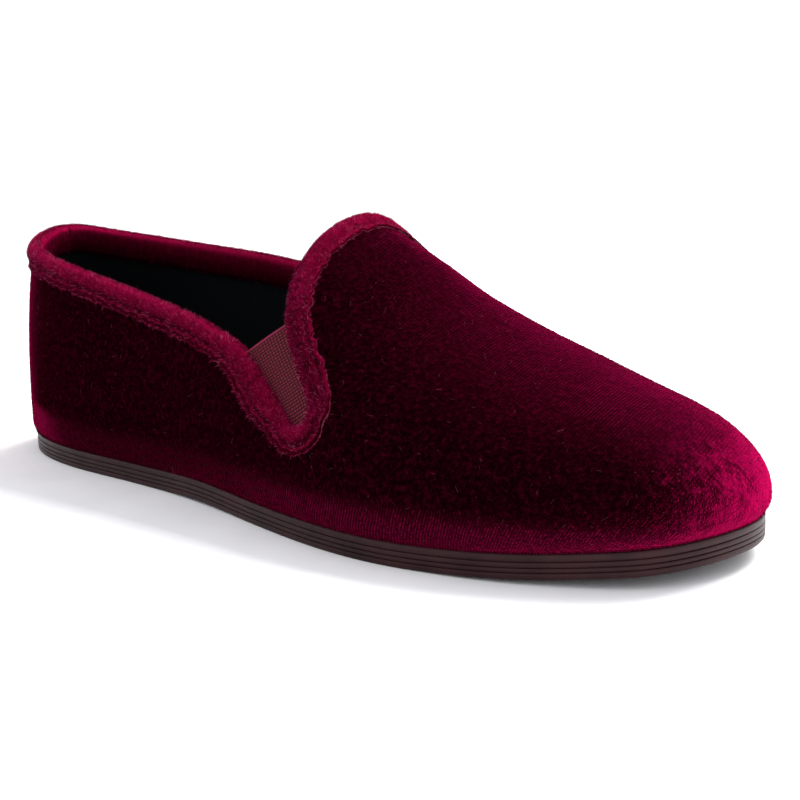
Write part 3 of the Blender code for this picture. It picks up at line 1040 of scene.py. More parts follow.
@dataclass(frozen=True)
class StripFinish:
    """Plush topline strip: short crimson pile with brush marks, painted lighter where it faces up and painted
    darker on its leg inside the shoe, as painted light and shade.
    """

    name: str = "binding_velvet"
    dark: Colour = (0.005, 0.0001, 0.0008, 1.0)
    light: Colour = (0.028, 0.0003, 0.0040, 1.0)
    # Painted shade of the leg inside the shoe
    inside: Colour = (0.003, 0.0001, 0.0006, 1.0)
    # Painted light on the parts of the strip that face up
    painted_top_light: Colour = (0.180, 0.0014, 0.0240, 1.0)
    raw_edge: Colour = (0.46, 0.100, 0.170, 1.0)
    sheen: Colour = (1.0, 0.012, 0.160, 1.0)
    nap_grain: float = 2200.0
    brush_grain: float = 620.0
    nap_depth: float = 0.00030
    brush_depth: float = 0.0012
    pile_lean: float = 0.8
    # Shares of the strip's width, from its raw edge outside over the fold to its edge inside
    raw_place: float = 0.032
    raw_half_width: float = 0.006
    flange_end: Span = (0.10, 0.15)
    fold: Span = (0.45, 0.55)
    # Where the painted shade of the leg inside the shoe begins and ends
    inner_leg: Span = (0.64, 0.96)

    def build(self) -> bpy.types.Material:
        """Make the material.

        Returns:
            The strip's ground.
        """
        s = Shader(self.name)
        place = s.shoe_place()
        nap = s.noise(place, self.nap_grain, 3.0, 0.65)
        clumps = s.noise(place, self.brush_grain, 3.0, 0.6)
        blend = s.math("ADD", s.math("MULTIPLY", nap, 0.4), s.math("MULTIPLY", clumps, 0.6))
        colour = s.ramp(blend, ((0.35, self.dark), (0.65, self.light)))
        _, across, _ = s.parts(s.cloth_place())
        folded = s.scaled(s.rise(across, *self.flange_end), 1.5 * self.pile_lean, -0.5 * self.pile_lean)
        turned = s.scaled(s.rise(across, *self.fold), -2.0, 1.0)
        leaned = s.sideways_normal(s.math("MULTIPLY", folded, turned))
        # Painted light: where the leaning pile faces up, towards the light from above and behind, the strip
        # is painted lighter
        _, _, facing = s.parts(leaned)
        painted_top_light = s.math("MULTIPLY", s.rise(facing, 0.25, 0.95), s.scaled(blend, 2.0, -0.1), clamp=True)
        colour = s.mix(painted_top_light, colour, self.painted_top_light)
        # Painted shade: the leg inside the shoe is painted darker towards its inner edge
        colour = s.mix(s.rise(across, *self.inner_leg), colour, self.inside)
        off_edge = s.math("ABSOLUTE", s.math("SUBTRACT", across, self.raw_place))
        raw = s.math("LESS_THAN", off_edge, self.raw_half_width)
        raw = s.math("MULTIPLY", raw, s.rise(clumps, 0.38, 0.54))
        colour = s.mix(raw, colour, self.raw_edge)
        normal = s.bump(clumps, self.brush_depth, 0.5, leaned)
        normal = s.bump(nap, self.nap_depth, 0.8, normal)
        return s.finish(
            colour,
            normal,
            Roughness=0.9,
            Specular_IOR_Level=0.0,
            Sheen_Weight=0.32,
            Sheen_Roughness=0.30,
            Sheen_Tint=self.sheen,
        )


@dataclass(frozen=True)
class PileFinish:
    """Single fibres, with painted shade at the root, a painted highlight at the tip and painted glints on the
    lightest ones.
    """

    name: str
    root: Colour
    tip: Colour
    # Painted glint, the lightest colour of the ramp
    painted_glint: Colour
    sheen: Colour = (0.90, 0.05, 0.22, 1.0)
    sheen_weight: float = 0.35

    def build(self) -> bpy.types.Material:
        """Make the material.

        Returns:
            The pile.
        """
        s = Shader(self.name)
        tone, height, _ = s.parts(s.cloth_place())
        # Painted light along each fibre: painted shade at the root, a painted highlight at the tip, and a
        # painted glint where the tone is high
        shade = s.math("ADD", s.math("MULTIPLY", height, 0.45), s.math("MULTIPLY", tone, 0.65))
        colour = s.ramp(shade, ((0.10, self.root), (0.62, self.tip), (0.98, self.painted_glint)))
        return s.finish(
            colour,
            Roughness=0.8,
            Specular_IOR_Level=0.01,
            Sheen_Weight=self.sheen_weight,
            Sheen_Roughness=0.35,
            Sheen_Tint=self.sheen,
        )


@dataclass(frozen=True)
class ElasticFinish:
    """Woven elastic: rose threads crossed by brown ones, with dark gaps between them."""

    name: str
    gap: Colour = (0.002, 0.0006, 0.001, 1.0)
    rose: Colour = (0.225, 0.020, 0.042, 1.0)
    brown: Colour = (0.160, 0.020, 0.034, 1.0)
    edge: Colour = (0.200, 0.018, 0.050, 1.0)
    pitch: float = 0.00092
    thread_grain: float = 5200.0
    thread_depth: float = 0.00030
    gap_across: Span = (0.60, 0.20)
    gap_down: Span = (0.74, 0.28)
    selvedge_width: float = 0.0007

    def build(self) -> bpy.types.Material:
        """Make the material.

        Returns:
            The elastic.
        """
        s = Shader(self.name)
        cloth = s.cloth_place()
        across, down, _ = s.parts(cloth)
        waves = [s.math("SINE", s.math("MULTIPLY", way, math.pi / self.pitch)) for way in (across, down)]
        over = s.math("GREATER_THAN", s.math("MULTIPLY", *waves), 0.0)
        tops = [s.math("ABSOLUTE", wave) for wave in waves]
        height = s.math("MULTIPLY", *[s.math("POWER", top, 0.5) for top in tops])
        grain = s.noise(cloth, self.thread_grain, 2.0, 0.6)
        thread = s.mix(over, self.brown, self.rose)
        varied = s.mix(s.math("MULTIPLY", grain, 0.45), thread, self.gap)
        between = s.rise(tops[0], *self.gap_across)
        below = s.rise(tops[1], *self.gap_down)
        colour = s.mix(s.math("MAXIMUM", between, below), varied, self.gap)
        selvedge = s.math("LESS_THAN", down, self.selvedge_width)
        colour = s.mix(selvedge, colour, self.edge)
        normal = s.bump(height, self.thread_depth, 1.0)
        normal = s.bump(grain, self.thread_depth * 0.4, 0.6, normal)
        return s.finish(
            colour,
            normal,
            Roughness=0.72,
            Specular_IOR_Level=0.04,
            Sheen_Weight=0.03,
            Sheen_Roughness=0.5,
            Sheen_Tint=(0.8, 0.4, 0.5, 1.0),
        )


@dataclass(frozen=True)
class RubberFinish:
    """Dark brown moulded rubber with a satin skin and fine scuffs."""

    name: str = "sole_rubber"
    dark: Colour = (0.0130, 0.0030, 0.0038, 1.0)
    light: Colour = (0.0340, 0.0090, 0.0110, 1.0)
    tread_pitch: float = 0.0060
    tread_depth: float = 0.0006
    cloud_grain: float = 90.0
    skin_grain: float = 3200.0
    skin_depth: float = 0.00005
    scuff_grain: float = 700.0
    scuff_depth: float = 0.00006

    def build(self) -> bpy.types.Material:
        """Make the material.

        Returns:
            The rubber.
        """
        s = Shader(self.name)
        place = s.shoe_place()
        cloud = s.noise(place, self.cloud_grain, 4.0, 0.6)
        skin = s.noise(place, self.skin_grain, 2.0, 0.6)
        scuff = s.noise(place, self.scuff_grain, 3.0, 0.7)
        colour = s.ramp(cloud, ((0.3, self.dark), (0.75, self.light)))
        rough = s.scaled(scuff, 0.22, 0.36)
        normal = s.bump(self.tread(s, place), self.tread_depth, 1.0)
        normal = s.bump(skin, self.skin_depth, 0.7, normal)
        normal = s.bump(scuff, self.scuff_depth, 0.4, normal)
        return s.finish(colour, normal, Roughness=rough, Specular_IOR_Level=0.16)

    def tread(self, s: Shader, place: Socket) -> Socket:
        """Press small crossed waves into the underside.

        Args:
            s: Shader to add to.
            place: Place in the shoe's frame.

        Returns:
            Height, 1 on the sole's side and on the tops of the waves.
        """
        x, y, _ = s.parts(place)
        _, _, facing = s.parts(s.add("NewGeometry").outputs["Normal"])
        under = s.rise(facing, -0.80, -0.95)
        turns = 2.0 * math.pi / self.tread_pitch
        waves = [s.math("SINE", s.math("MULTIPLY", s.math(way, x, y), turns)) for way in ("ADD", "SUBTRACT")]
        grooves = s.rise(s.math("MULTIPLY", *waves), 0.15, -0.05)
        return s.math("SUBTRACT", 1.0, s.math("MULTIPLY", under, grooves))


@dataclass(frozen=True)
class LiningFinish:
    """Black lining cloth with a fine knit."""

    name: str
    dark: Colour = (0.0006, 0.0009, 0.0012, 1.0)
    light: Colour = (0.0030, 0.0042, 0.0052, 1.0)
    pitch: float = 0.0009
    knit_depth: float = 0.00012
    fluff_grain: float = 900.0
    fluff_depth: float = 0.0002

    def build(self) -> bpy.types.Material:
        """Make the material.

        Returns:
            The lining.
        """
        s = Shader(self.name)
        cloth = s.cloth_place()
        along, across, _ = s.parts(cloth)
        rows = s.math("SINE", s.math("MULTIPLY", along, 2.0 * math.pi / self.pitch))
        columns = s.math("SINE", s.math("MULTIPLY", across, 2.0 * math.pi / self.pitch))
        knit = s.scaled(s.math("MULTIPLY", rows, columns), 0.5, 0.5)
        fluff = s.noise(cloth, self.fluff_grain, 3.0, 0.7)
        blend = s.math("ADD", s.math("MULTIPLY", knit, 0.4), s.math("MULTIPLY", fluff, 0.6))
        colour = s.ramp(blend, ((0.3, self.dark), (0.75, self.light)))
        normal = s.bump(knit, self.knit_depth, 0.8)
        normal = s.bump(fluff, self.fluff_depth, 0.6, normal)
        return s.finish(
            colour,
            normal,
            Roughness=0.95,
            Specular_IOR_Level=0.03,
            Sheen_Weight=0.03,
            Sheen_Roughness=0.6,
            Sheen_Tint=(0.5, 0.55, 0.6, 1.0),
        )


@dataclass(frozen=True)
class FloorFinish:
    """White studio floor with a trace of paper grain."""

    name: str = "studio_floor"
    shade: Colour = (0.92, 0.92, 0.93, 1.0)
    tint: Colour = (0.95, 0.95, 0.955, 1.0)
    paper_grain: float = 40.0

    def build(self) -> bpy.types.Material:
        """Make the material.

        Returns:
            The floor.
        """
        s = Shader(self.name)
        grain = s.noise(s.shoe_place(), self.paper_grain, 3.0, 0.5)
        colour = s.ramp(grain, ((0.4, self.shade), (0.6, self.tint)))
        return s.finish(colour, Roughness=0.95, Specular_IOR_Level=0.0)


# Pile


@dataclass(frozen=True)
class Pile:
    """Fibres that stand on a piece of cloth.

    The spread is how far they stray from the cloth's normal, the joints are how often each one
    bends, a tuft is as wide as its pitch and leans by its own share, and fibres that point up
    are painted lighter by the painted top light tone, a painted highlight where they face the light.
    """

    name: str
    slot: str
    count: int
    length: float
    width: float
    spread: float
    seed: int
    joints: int = 1
    tuft: float = 0.0012
    tuft_lean: float = 0.0
    painted_top_light_tone: float = 0.0
    shortest: float = 0.55
    longest: float = 1.15
    clump_tone: float = 0.45
    own_tone: float = 0.3

    def grow(
        self,
        points: np.ndarray,
        normals: np.ndarray,
        faces: np.ndarray,
        lean: np.ndarray,
        finish: bpy.types.Material,
        weight: Optional[np.ndarray] = None,
    ) -> bpy.types.Object:
        """Plant fibres all over a mesh.

        Args:
            points: Mesh points in the row frame.
            normals: Their unit normals.
            faces: Quads that carry fibres.
            lean: Direction in which the pile lies at each point, as a share of its length.
            finish: Fibre material.
            weight: Length of the fibres at each point, as a share of the full length.

        Returns:
            The pile object.
        """
        rng = np.random.default_rng(self.seed)
        corners = points[faces]
        area = 0.5 * np.linalg.norm(
            np.cross(corners[:, 2] - corners[:, 0], corners[:, 3] - corners[:, 1]), axis=1
        )
        chosen = rng.choice(len(faces), self.count, p=area / area.sum())
        u, v = rng.random((2, self.count))
        shares = np.stack([(1 - u) * (1 - v), u * (1 - v), u * v, (1 - u) * v], axis=1)[:, :, None]
        root = (points[faces[chosen]] * shares).sum(axis=1)
        normal = (normals[faces[chosen]] * shares).sum(axis=1)
        normal /= np.linalg.norm(normal, axis=1, keepdims=True)
        lying = (lean[faces[chosen]] * shares).sum(axis=1)
        scale = np.ones(self.count)
        if weight is not None:
            scale = (weight[faces[chosen]] * shares[:, :, 0]).sum(axis=1)
        length = self.length * scale * rng.uniform(self.shortest, self.longest, self.count)
        direction = normal + lying + rng.normal(0.0, self.spread, (self.count, 3))
        for axis in range(3):
            direction[:, axis] += self.tuft_lean * tuft_noise(root, self.tuft, self.seed + 1 + axis)
        clump = tuft_noise(root, 1.4 * self.tuft, self.seed + 4)
        if self.tuft_lean > 0.0:
            length = length * (1.0 + 0.25 * clump)
        direction /= np.linalg.norm(direction, axis=1, keepdims=True)
        # Painted highlight: fibres that point up are painted lighter
        up = np.clip(1.6 * direction[:, 2] - 0.6, 0.0, 1.0) * self.painted_top_light_tone
        side = np.cross(direction, rng.normal(0.0, 1.0, (self.count, 3)))
        side *= 0.5 * self.width / np.linalg.norm(side, axis=1, keepdims=True)
        bent = direction + lying * 0.6 + rng.normal(0.0, self.spread, (self.count, 3))
        bent /= np.linalg.norm(bent, axis=1, keepdims=True)
        own = rng.uniform(-self.own_tone, self.own_tone, self.count)
        tone = np.clip(0.5 + up + self.clump_tone * clump + own, 0.0, 1.0)
        stack, heights = self.blades(root, side, direction, bent, length)
        each = stack.shape[1]
        first = np.arange(self.count)[:, None] * each
        triangles = []
        for k in range(0, each - 3, 2):
            triangles += [first + [k, k + 1, k + 3], first + [k, k + 3, k + 2]]
        triangles.append(first + [each - 3, each - 2, each - 1])
        cloth = np.zeros((self.count, each, 2))
        cloth[:, :, 0] = tone[:, None]
        cloth[:, :, 1] = np.array(heights)[None, :]
        return make_piece(
            self.name,
            stack.reshape(-1, 3),
            np.concatenate(triangles),
            finish,
            cloth.reshape(-1, 2),
            smooth=False,
        )

    def blades(
        self, root: np.ndarray, side: np.ndarray, direction: np.ndarray, bent: np.ndarray, length: np.ndarray
    ) -> tuple[np.ndarray, list[float]]:
        """Give each fibre's corners: two at its root and at each joint, and one at its tip.

        Args:
            root: Where each fibre stands.
            side: Half its width, across it.
            direction: Where it points at the root.
            bent: Where it points at the tip.
            length: Its length.

        Returns:
            Corners of each fibre, and the share of the length at each of them.
        """
        rows = [root - side, root + side]
        heights = [0.0, 0.0]
        place = root
        for joint in range(1, self.joints + 1):
            share = joint / self.joints
            step = direction * (1.0 - share) + bent * share if self.joints > 1 else direction
            place = place + step * (length / self.joints)[:, None]
            if joint < self.joints:
                rows += [place - side * 0.8, place + side * 0.8]
                heights += [share, share]
            else:
                rows.append(place)
                heights.append(1.0)
        return np.stack(rows, axis=1), heights


# Parts of the slipper


@dataclass
class Upper:
    """Velvet body and its lining."""

    last: Last
    stations: int = 640
    rings: int = 130
    pile_lean: tuple[float, float, float] = (0.25, 0.0, -0.35)
    pile_count: int = 150000
    lint_count: int = 1200
    lint_height: float = 0.0003
    hem_count: int = 6000
    hem_rings: int = 3

    def sheet(self) -> tuple[np.ndarray, np.ndarray, np.ndarray, np.ndarray]:
        """Lay the cloth over the whole last.

        Returns:
            Points, quads, normals and places on the flat cloth.
        """
        grid = self.last.rings(self.stations, self.rings)
        count = self.stations
        half = count // 2
        steps = np.linalg.norm(np.diff(grid, axis=0), axis=2)
        down = np.concatenate([np.cumsum(steps[::-1], axis=0)[::-1], np.zeros((1, count))])
        edge, centre = self.last.around(count)
        ray = edge - centre
        ray /= np.linalg.norm(ray, axis=1, keepdims=True)
        cloth = centre[None] + down[:, :, None] * ray[None]
        grid[0, :, 2] -= self.last.gap
        faces = grid_faces(self.rings + 1, count, close_columns=True)
        top = self.rings * count
        mirror = np.arange((self.rings + 1) * count)
        for j in range(half + 1, count):
            mirror[top + j] = top + count - j
        faces = mirror[faces]
        points = grid.reshape(-1, 3)
        normals = point_normals(points, faces)
        if normals[count // 4][1] > 0.0:
            faces = faces[:, ::-1]
            normals = -normals
        return points, faces, normals, cloth.reshape(-1, 2)

    def build(
        self,
        velvet: bpy.types.Material,
        lining: bpy.types.Material,
        pile: bpy.types.Material,
        lint: bpy.types.Material,
    ) -> None:
        """Make the velvet sheet, the lining, the short pile and a little lint.

        Args:
            velvet: Body velvet.
            lining: Lining cloth.
            pile: Fibres of the body velvet.
            lint: Stray fibres.
        """
        points, faces, normals, cloth = self.sheet()
        covered = self.last.outside_opening(points)
        kept = faces[covered[faces].all(axis=1)]
        placed = self.last.to_row(points)
        make_piece("velvet_body", placed, kept, velvet, cloth, "upper")
        self.line(lining)
        lean = np.broadcast_to(np.array(self.pile_lean), placed.shape)
        nap = Pile(
            "velvet_pile", "upper", count=self.pile_count, length=0.00045, width=0.00007, spread=0.22, seed=11
        )
        nap.grow(placed, normals, kept, lean, pile)
        stray = Pile(
            "velvet_lint",
            "upper",
            count=self.lint_count,
            length=0.0016,
            width=0.00005,
            spread=1.2,
            seed=31,
            joints=5,
        )
        stray.grow(placed + normals * self.lint_height, normals, kept, lean, lint)
        hem_faces = kept[(kept // self.stations).max(axis=1) < self.hem_rings]
        hem = Pile(
            "velvet_hem",
            "upper",
            count=self.hem_count,
            length=0.0008,
            width=0.00007,
            spread=0.35,
            seed=41,
            tuft=0.0020,
            tuft_lean=0.70,
        )
        hem.grow(placed, normals, hem_faces, lean * np.array([0.0, 0.0, 1.5]), pile)

    def line(self, lining: bpy.types.Material) -> None:
        """Make the lining on the inside of the wall.

        Args:
            lining: Lining cloth.
        """
        coarse = Upper(self.last, stations=self.stations // 2, rings=66)
        points, faces, normals, cloth = coarse.sheet()
        kept = faces[self.last.outside_opening(points)[faces].all(axis=1)]
        inner = self.last.to_row(points - normals * self.last.wall)
        inner[:, 2] = np.maximum(inner[:, 2], self.last.sole_height + self.last.gap)
        make_piece("lining_cloth", inner, kept[:, ::-1], lining, cloth)


@dataclass
class Binding:
    """Plush strip folded over the cut edge of the upper and sewn through."""

    surface: LastSurface
    clearance: float = 0.0003
    past_edge: float = 0.0013
    inner_width: float = 0.0080
    width: float = 0.0057
    gore_width: float = 0.0098
    crown: float = 0.0011
    inner_crown: float = 0.0012
    stitch_share: float = 0.70
    stitch_place: float = 0.115
    stitch_spread: float = 0.026
    raw_share: float = 0.045
    outer_share: float = 0.55
    raw_edge_wave: float = 0.00050
    roll_wave: float = 0.00012
    stations: int = 1000

    def path(self) -> np.ndarray:
        """Follow the cut edge round the whole opening.

        Returns:
            Closed line on the last.
        """
        last = self.surface.last
        line = last.opening_line(2000)
        outer = [self.surface.seen_from(x, z, Side.OUTER) for x, z in line]
        inner = [self.surface.seen_from(x, z, Side.INNER) for x, z in line[::-1]]
        loop = np.array([tuple(point) for point in outer + inner if point is not None])
        closed = np.concatenate([loop, loop[:1]])
        fine = resample(closed, np.linspace(0.0, 1.0, 1601))[:-1]
        fine = soften(fine, 6)
        closed = np.concatenate([fine, fine[:1]])
        return resample(closed, np.linspace(0.0, 1.0, self.stations + 1))[:-1]

    def outer_widths(self, path: np.ndarray, heading: np.ndarray) -> np.ndarray:
        """Width of the outer leg at each place: wider on the rear leg of each gore.

        Args:
            path: Points of the cut edge.
            heading: Unit directions along it.

        Returns:
            Widths in metres.
        """
        last = self.surface.last
        low = np.interp(path[:, 2] / last.instep_height, (0.50, 0.65), (1.0, 0.0))
        rear = np.interp(np.abs(heading[:, 0]), (0.45, 0.95), (0.0, 1.0))
        along = np.interp(path[:, 0] / last.length, (0.465, 0.515, 0.560, 0.600), (0.0, 1.0, 1.0, 0.0))
        widths = self.width + (self.gore_width - self.width) * low * rear * along
        return soften(widths[:, None], 20)[:, 0]

    def profile(self, width: float, lump: float) -> np.ndarray:
        """Cross-section of the folded strip, from its outer raw edge over the fold to its inner one.

        Args:
            width: Width of the outer leg.
            lump: Extra height of the pile's roll.

        Returns:
            Rows of distance from the cut edge into the cloth and height over the last.
        """
        top = self.clearance + self.crown + lump
        under = -self.surface.last.wall - self.clearance
        low = under - self.inner_crown
        inner = self.inner_width
        stitch = self.stitch_share * width
        past = self.past_edge
        corners = (
            (width - 0.0005, 0.00005),
            (width, 0.0002),
            (width + 0.0001, 0.00075),
            (width - 0.0006, 0.0010),
            (0.5 * (width + stitch) + 0.0002, 0.0009),
            (stitch + 0.0003, 0.0003),
            (stitch - 0.0004, 0.0003),
            (stitch - 0.0010, 0.0011),
            (0.40 * width, top),
            (0.18 * width, top + 0.0001),
            (0.0, top - 0.0001),
            (-0.55 * past, 0.70 * top),
            (-0.90 * past, 0.20 * top),
            (-1.02 * past, -0.0009),
            (-0.90 * past, under - 0.0001),
            (-0.45 * past, low + 0.0002),
            (0.0006, low),
            (0.35 * inner, low),
            (0.72 * inner, low + 0.0002),
            (inner - 0.0008, low + 0.0002),
            (inner - 0.0001, low + 0.0006),
            (inner, under - 0.0001),
            (inner - 0.0006, under),
        )
        return resample(np.array(corners), np.linspace(0.0, 1.0, 56))

    def build(
        self, ground: bpy.types.Material, pile: bpy.types.Material, threads: bpy.types.Material
    ) -> None:
        """Sweep the strip along the cut edge and grow its pile.

        Args:
            ground: Material of the strip itself.
            pile: Material of its fibres.
            threads: Material of the cut threads along the raw edge.
        """
        path = self.path()
        ahead = np.roll(path, -2, axis=0) - np.roll(path, 2, axis=0)
        heading = ahead / np.linalg.norm(ahead, axis=1, keepdims=True)
        widths = self.outer_widths(path, heading)
        wave = loop_waves(self.stations, 5, (43, 67, 96, 139, 190)) * self.raw_edge_wave
        lumps = loop_waves(self.stations, 8, (40, 66, 97, 131)) * self.roll_wave
        _, normal = self.surface.lift(path, np.zeros(self.stations))
        inward = np.cross(heading, normal)
        inward /= np.linalg.norm(inward, axis=1, keepdims=True)
        sections = np.stack([self.profile(w + v, lump) for w, v, lump in zip(widths, wave, lumps)])
        count = sections.shape[1]
        flat = path[:, None, :] + inward[:, None, :] * sections[:, :, :1]
        points, _ = self.surface.lift(flat.reshape(-1, 3), sections[:, :, 1].ravel())
        grid = points.reshape(self.stations, count, 3)
        for _ in range(2):
            grid[:, 1:-1] = 0.25 * grid[:, :-2] + 0.5 * grid[:, 1:-1] + 0.25 * grid[:, 2:]
        points = grid.reshape(-1, 3)
        faces = grid_faces(self.stations, count, close_rows=True)
        normals = point_normals(points, faces)
        middle = count // 4
        outward = points.reshape(self.stations, count, 3)[:, middle] - path
        if (normals.reshape(self.stations, count, 3)[:, middle] * outward).sum() < 0.0:
            faces = faces[:, ::-1]
            normals = -normals
        cloth = np.zeros((self.stations, count, 2))
        cloth[:, :, 0] = np.linspace(0.0, 1.0, self.stations)[:, None]
        cloth[:, :, 1] = np.linspace(0.0, 1.0, count)[None, :]
        placed = self.surface.last.to_row(points)
        node = "topline_binding"
        make_piece("topline_strip", placed, faces, ground, cloth.reshape(-1, 2), node)
        self.grow_pile(placed, normals, faces, sections, pile, threads)

    def grow_pile(
        self,
        placed: np.ndarray,
        normals: np.ndarray,
        faces: np.ndarray,
        sections: np.ndarray,
        pile: bpy.types.Material,
        threads: bpy.types.Material,
    ) -> None:
        """Grow the strip's pile, long on the roll and combed out over the raw edge.

        Args:
            placed: Strip points in the row frame.
            normals: Their normals.
            faces: Quads of the strip.
            sections: Profile of each station.
            pile: Material of the fibres.
            threads: Material of the cut threads.
        """
        stations, count, _ = sections.shape
        grid = placed.reshape(stations, count, 3)
        down = np.zeros_like(grid)
        down[:, 1:-1] = grid[:, :-2] - grid[:, 2:]
        down[:, 0] = down[:, 1]
        down[:, -1] = down[:, -2]
        down /= np.maximum(np.linalg.norm(down, axis=2, keepdims=True), 1e-9)
        share = np.linspace(0.0, 1.0, count)
        stitch = np.exp(-(((share - self.stitch_place) / self.stitch_spread) ** 2))
        flange = share < self.stitch_place
        lean = np.where(flange, 0.9, np.where(share < 0.5, -0.6, 0.6))
        lean = down * lean[None, :, None]
        length = np.where(share > 0.52, 0.6, 0.85) * (1.0 - 0.75 * stitch)
        length[share < self.raw_share] = 0.45
        weight = np.broadcast_to(length, (stations, count)).reshape(-1)
        column = faces.min(axis=1) % count
        outer_faces = faces[column < int(self.outer_share * count)]
        inner_faces = faces[column >= int(self.outer_share * count)]
        raw_faces = faces[column < int(self.raw_share * count)]
        lean = lean.reshape(-1, 3)
        plush = Pile(
            "strip_pile_outer",
            "topline_binding",
            count=150000,
            length=0.00090,
            width=0.00006,
            spread=0.22,
            seed=21,
            tuft=0.0010,
            tuft_lean=0.45,
            painted_top_light_tone=0.5,
        )
        plush.grow(placed, normals, outer_faces, lean, pile, weight)
        fringe = Pile(
            "strip_cut_threads",
            "topline_binding",
            count=7000,
            length=0.00075,
            width=0.00006,
            spread=0.25,
            seed=23,
            tuft=0.0030,
            tuft_lean=0.60,
        )
        fringe.grow(placed, normals, raw_faces, down.reshape(-1, 3) * 1.6, threads)
        stray = Pile(
            "strip_stray_fibres",
            "topline_binding",
            count=14000,
            length=0.00115,
            width=0.00005,
            spread=0.45,
            seed=24,
        )
        stray.grow(placed, normals, outer_faces, lean * 0.5, threads)
        nap = Pile(
            "strip_pile_inner",
            "topline_binding",
            count=60000,
            length=0.00070,
            width=0.00006,
            spread=0.22,
            seed=22,
            tuft_lean=0.40,
            painted_top_light_tone=0.5,
        )
        nap.grow(placed, normals, inner_faces, lean, pile, weight)


@dataclass
class Gore:
    """Elastic panel that fills the notch on one side."""

    surface: LastSurface
    side: Side
    node: str
    depth: float = 0.0009
    thickness: float = 0.0011
    top_back: float = 0.5172
    top_front: float = 0.5612
    notch_start: float = 0.400
    notch_top: float = 0.840
    back_past_top: float = 0.0020
    front_short_of_top: float = 0.0005
    rows: int = 90
    columns: int = 60

    def edges(self) -> tuple[np.ndarray, np.ndarray]:
        """Give the panel's back and front edges, from the bottom of the notch up.

        Returns:
            The two edges in side view.
        """
        last = self.surface.last
        line = last.opening_line(2000)
        forward = line[:, 0] > self.notch_start * last.length
        line = line[forward & (line[:, 1] < self.notch_top * last.instep_height)]
        low = int(np.argmin(line[:, 1]))
        back = line[:low][::-1]
        front = line[low:]
        back = back[back[:, 0] >= self.top_back * last.length - self.back_past_top]
        front = front[front[:, 0] >= self.top_front * last.length + self.front_short_of_top]
        return back, front

    def build(self, elastic: bpy.types.Material) -> None:
        """Make the panel as a thin closed slab laid on the last.

        Args:
            elastic: Material.
        """
        back, front = self.edges()
        shares = np.linspace(0.0, 1.0, self.rows)
        back = resample(back, shares)
        front = resample(front, shares)
        t = np.linspace(0.0, 1.0, self.columns)[None, :, None]
        side_view = (back[:, None] * (1.0 - t) + front[:, None] * t).reshape(-1, 2)
        seen = np.array([tuple(self.surface.seen_from(x, z, self.side)) for x, z in side_view])
        outer, _ = self.surface.lift(seen, np.full(len(seen), -self.depth))
        inner, _ = self.surface.lift(seen, np.full(len(seen), -self.depth - self.thickness))
        grid = outer.reshape(self.rows, self.columns, 3)
        widths = np.linalg.norm(np.diff(grid, axis=1), axis=2)
        across = np.concatenate([np.zeros((self.rows, 1)), np.cumsum(widths, axis=1)], axis=1)
        across -= 0.5 * across[:, -1:]
        heights = np.linalg.norm(np.diff(grid[::-1], axis=0), axis=2)
        down = np.concatenate([np.zeros((1, self.columns)), np.cumsum(heights, axis=0)])[::-1]
        cloth = np.stack([across, down], axis=2).reshape(-1, 2)
        faces = grid_faces(self.rows, self.columns)
        count = self.rows * self.columns
        rim = self.rim(count)
        every = np.concatenate([faces, faces[:, ::-1] + count, rim])
        points = self.surface.last.to_row(np.concatenate([outer, inner]))
        if self.side is Side.INNER:
            every = every[:, ::-1]
        cloth = np.concatenate([cloth, cloth])
        make_piece("elastic_" + self.node, points, every, elastic, cloth, self.node)

    def rim(self, count: int) -> np.ndarray:
        """Number the quads that close the slab along its rim.

        Args:
            count: Points of one face of the slab.

        Returns:
            Four point numbers per quad.
        """
        numbers = np.arange(count).reshape(self.rows, self.columns)
        loop = np.concatenate([numbers[0], numbers[1:, -1], numbers[-1, -2::-1], numbers[-2:0:-1, 0]])
        after = np.roll(loop, -1)
        return np.stack([loop, loop + count, after + count, after], axis=1)


def groove(low: float, above: Table = ((0.065, 0.20), (0.080, 0.02))) -> Table:
    """Shape one groove round the sole's side.

    Args:
        low: Where it starts, as a share of the sole's height.
        above: How its upper edge rounds out: heights over the start and insets.

    Returns:
        Rows of height and inset, as shares of the sole's height and of the groove's depth.
    """
    rows = ((0.0, 0.02), (0.015, 0.20), (0.030, 1.00), (0.045, 1.00)) + above
    return tuple((low + height, inset) for height, inset in rows)


@dataclass
class Outsole:
    """Moulded rubber sole with three grooves round its side."""

    last: Last
    groove_depth: float = 0.0004
    stations: int = 420
    crease_angle: float = 50.0
    # Share of the height, inset as a share of the grooves' depth
    side: Table = (
        ((0.00, 1.00), (0.03, 0.45), (0.07, 0.17), (0.14, 0.04))
        + groove(0.235)
        + ((0.37, 0.00),)
        + groove(0.430)
        + ((0.58, 0.00),)
        + groove(0.655, ((0.065, 0.30), (0.085, 0.12)))
        + ((0.87, 0.10), (0.94, 0.17), (0.98, 0.45), (1.00, 1.00))
    )

    def build(self, rubber: bpy.types.Material) -> None:
        """Make the sole.

        Args:
            rubber: Material.
        """
        edge, centre = self.last.around(self.stations)
        first = self.side[0][1] * self.groove_depth
        final = self.side[-1][1] * self.groove_depth
        shares = np.linspace(0.02, 0.995, 16)
        rings = [self.last.flat_ring(edge, centre, first, share, 0.0) for share in shares]
        for height, inset in self.side:
            level = height * self.last.sole_height
            rings.append(self.last.flat_ring(edge, centre, inset * self.groove_depth, 1.0, level))
        for share in shares[::-5]:
            rings.append(self.last.flat_ring(edge, centre, final, share, self.last.sole_height))
        grid = np.stack(rings)
        faces = closed_flat(len(rings), self.stations)
        placed = self.last.to_row(grid.reshape(-1, 3))
        cloth = grid[:, :, :2].reshape(-1, 2)
        made = make_piece("rubber_sole", placed, faces, rubber, cloth, "outsole")
        made.data.set_sharp_from_angle(angle=math.radians(self.crease_angle))


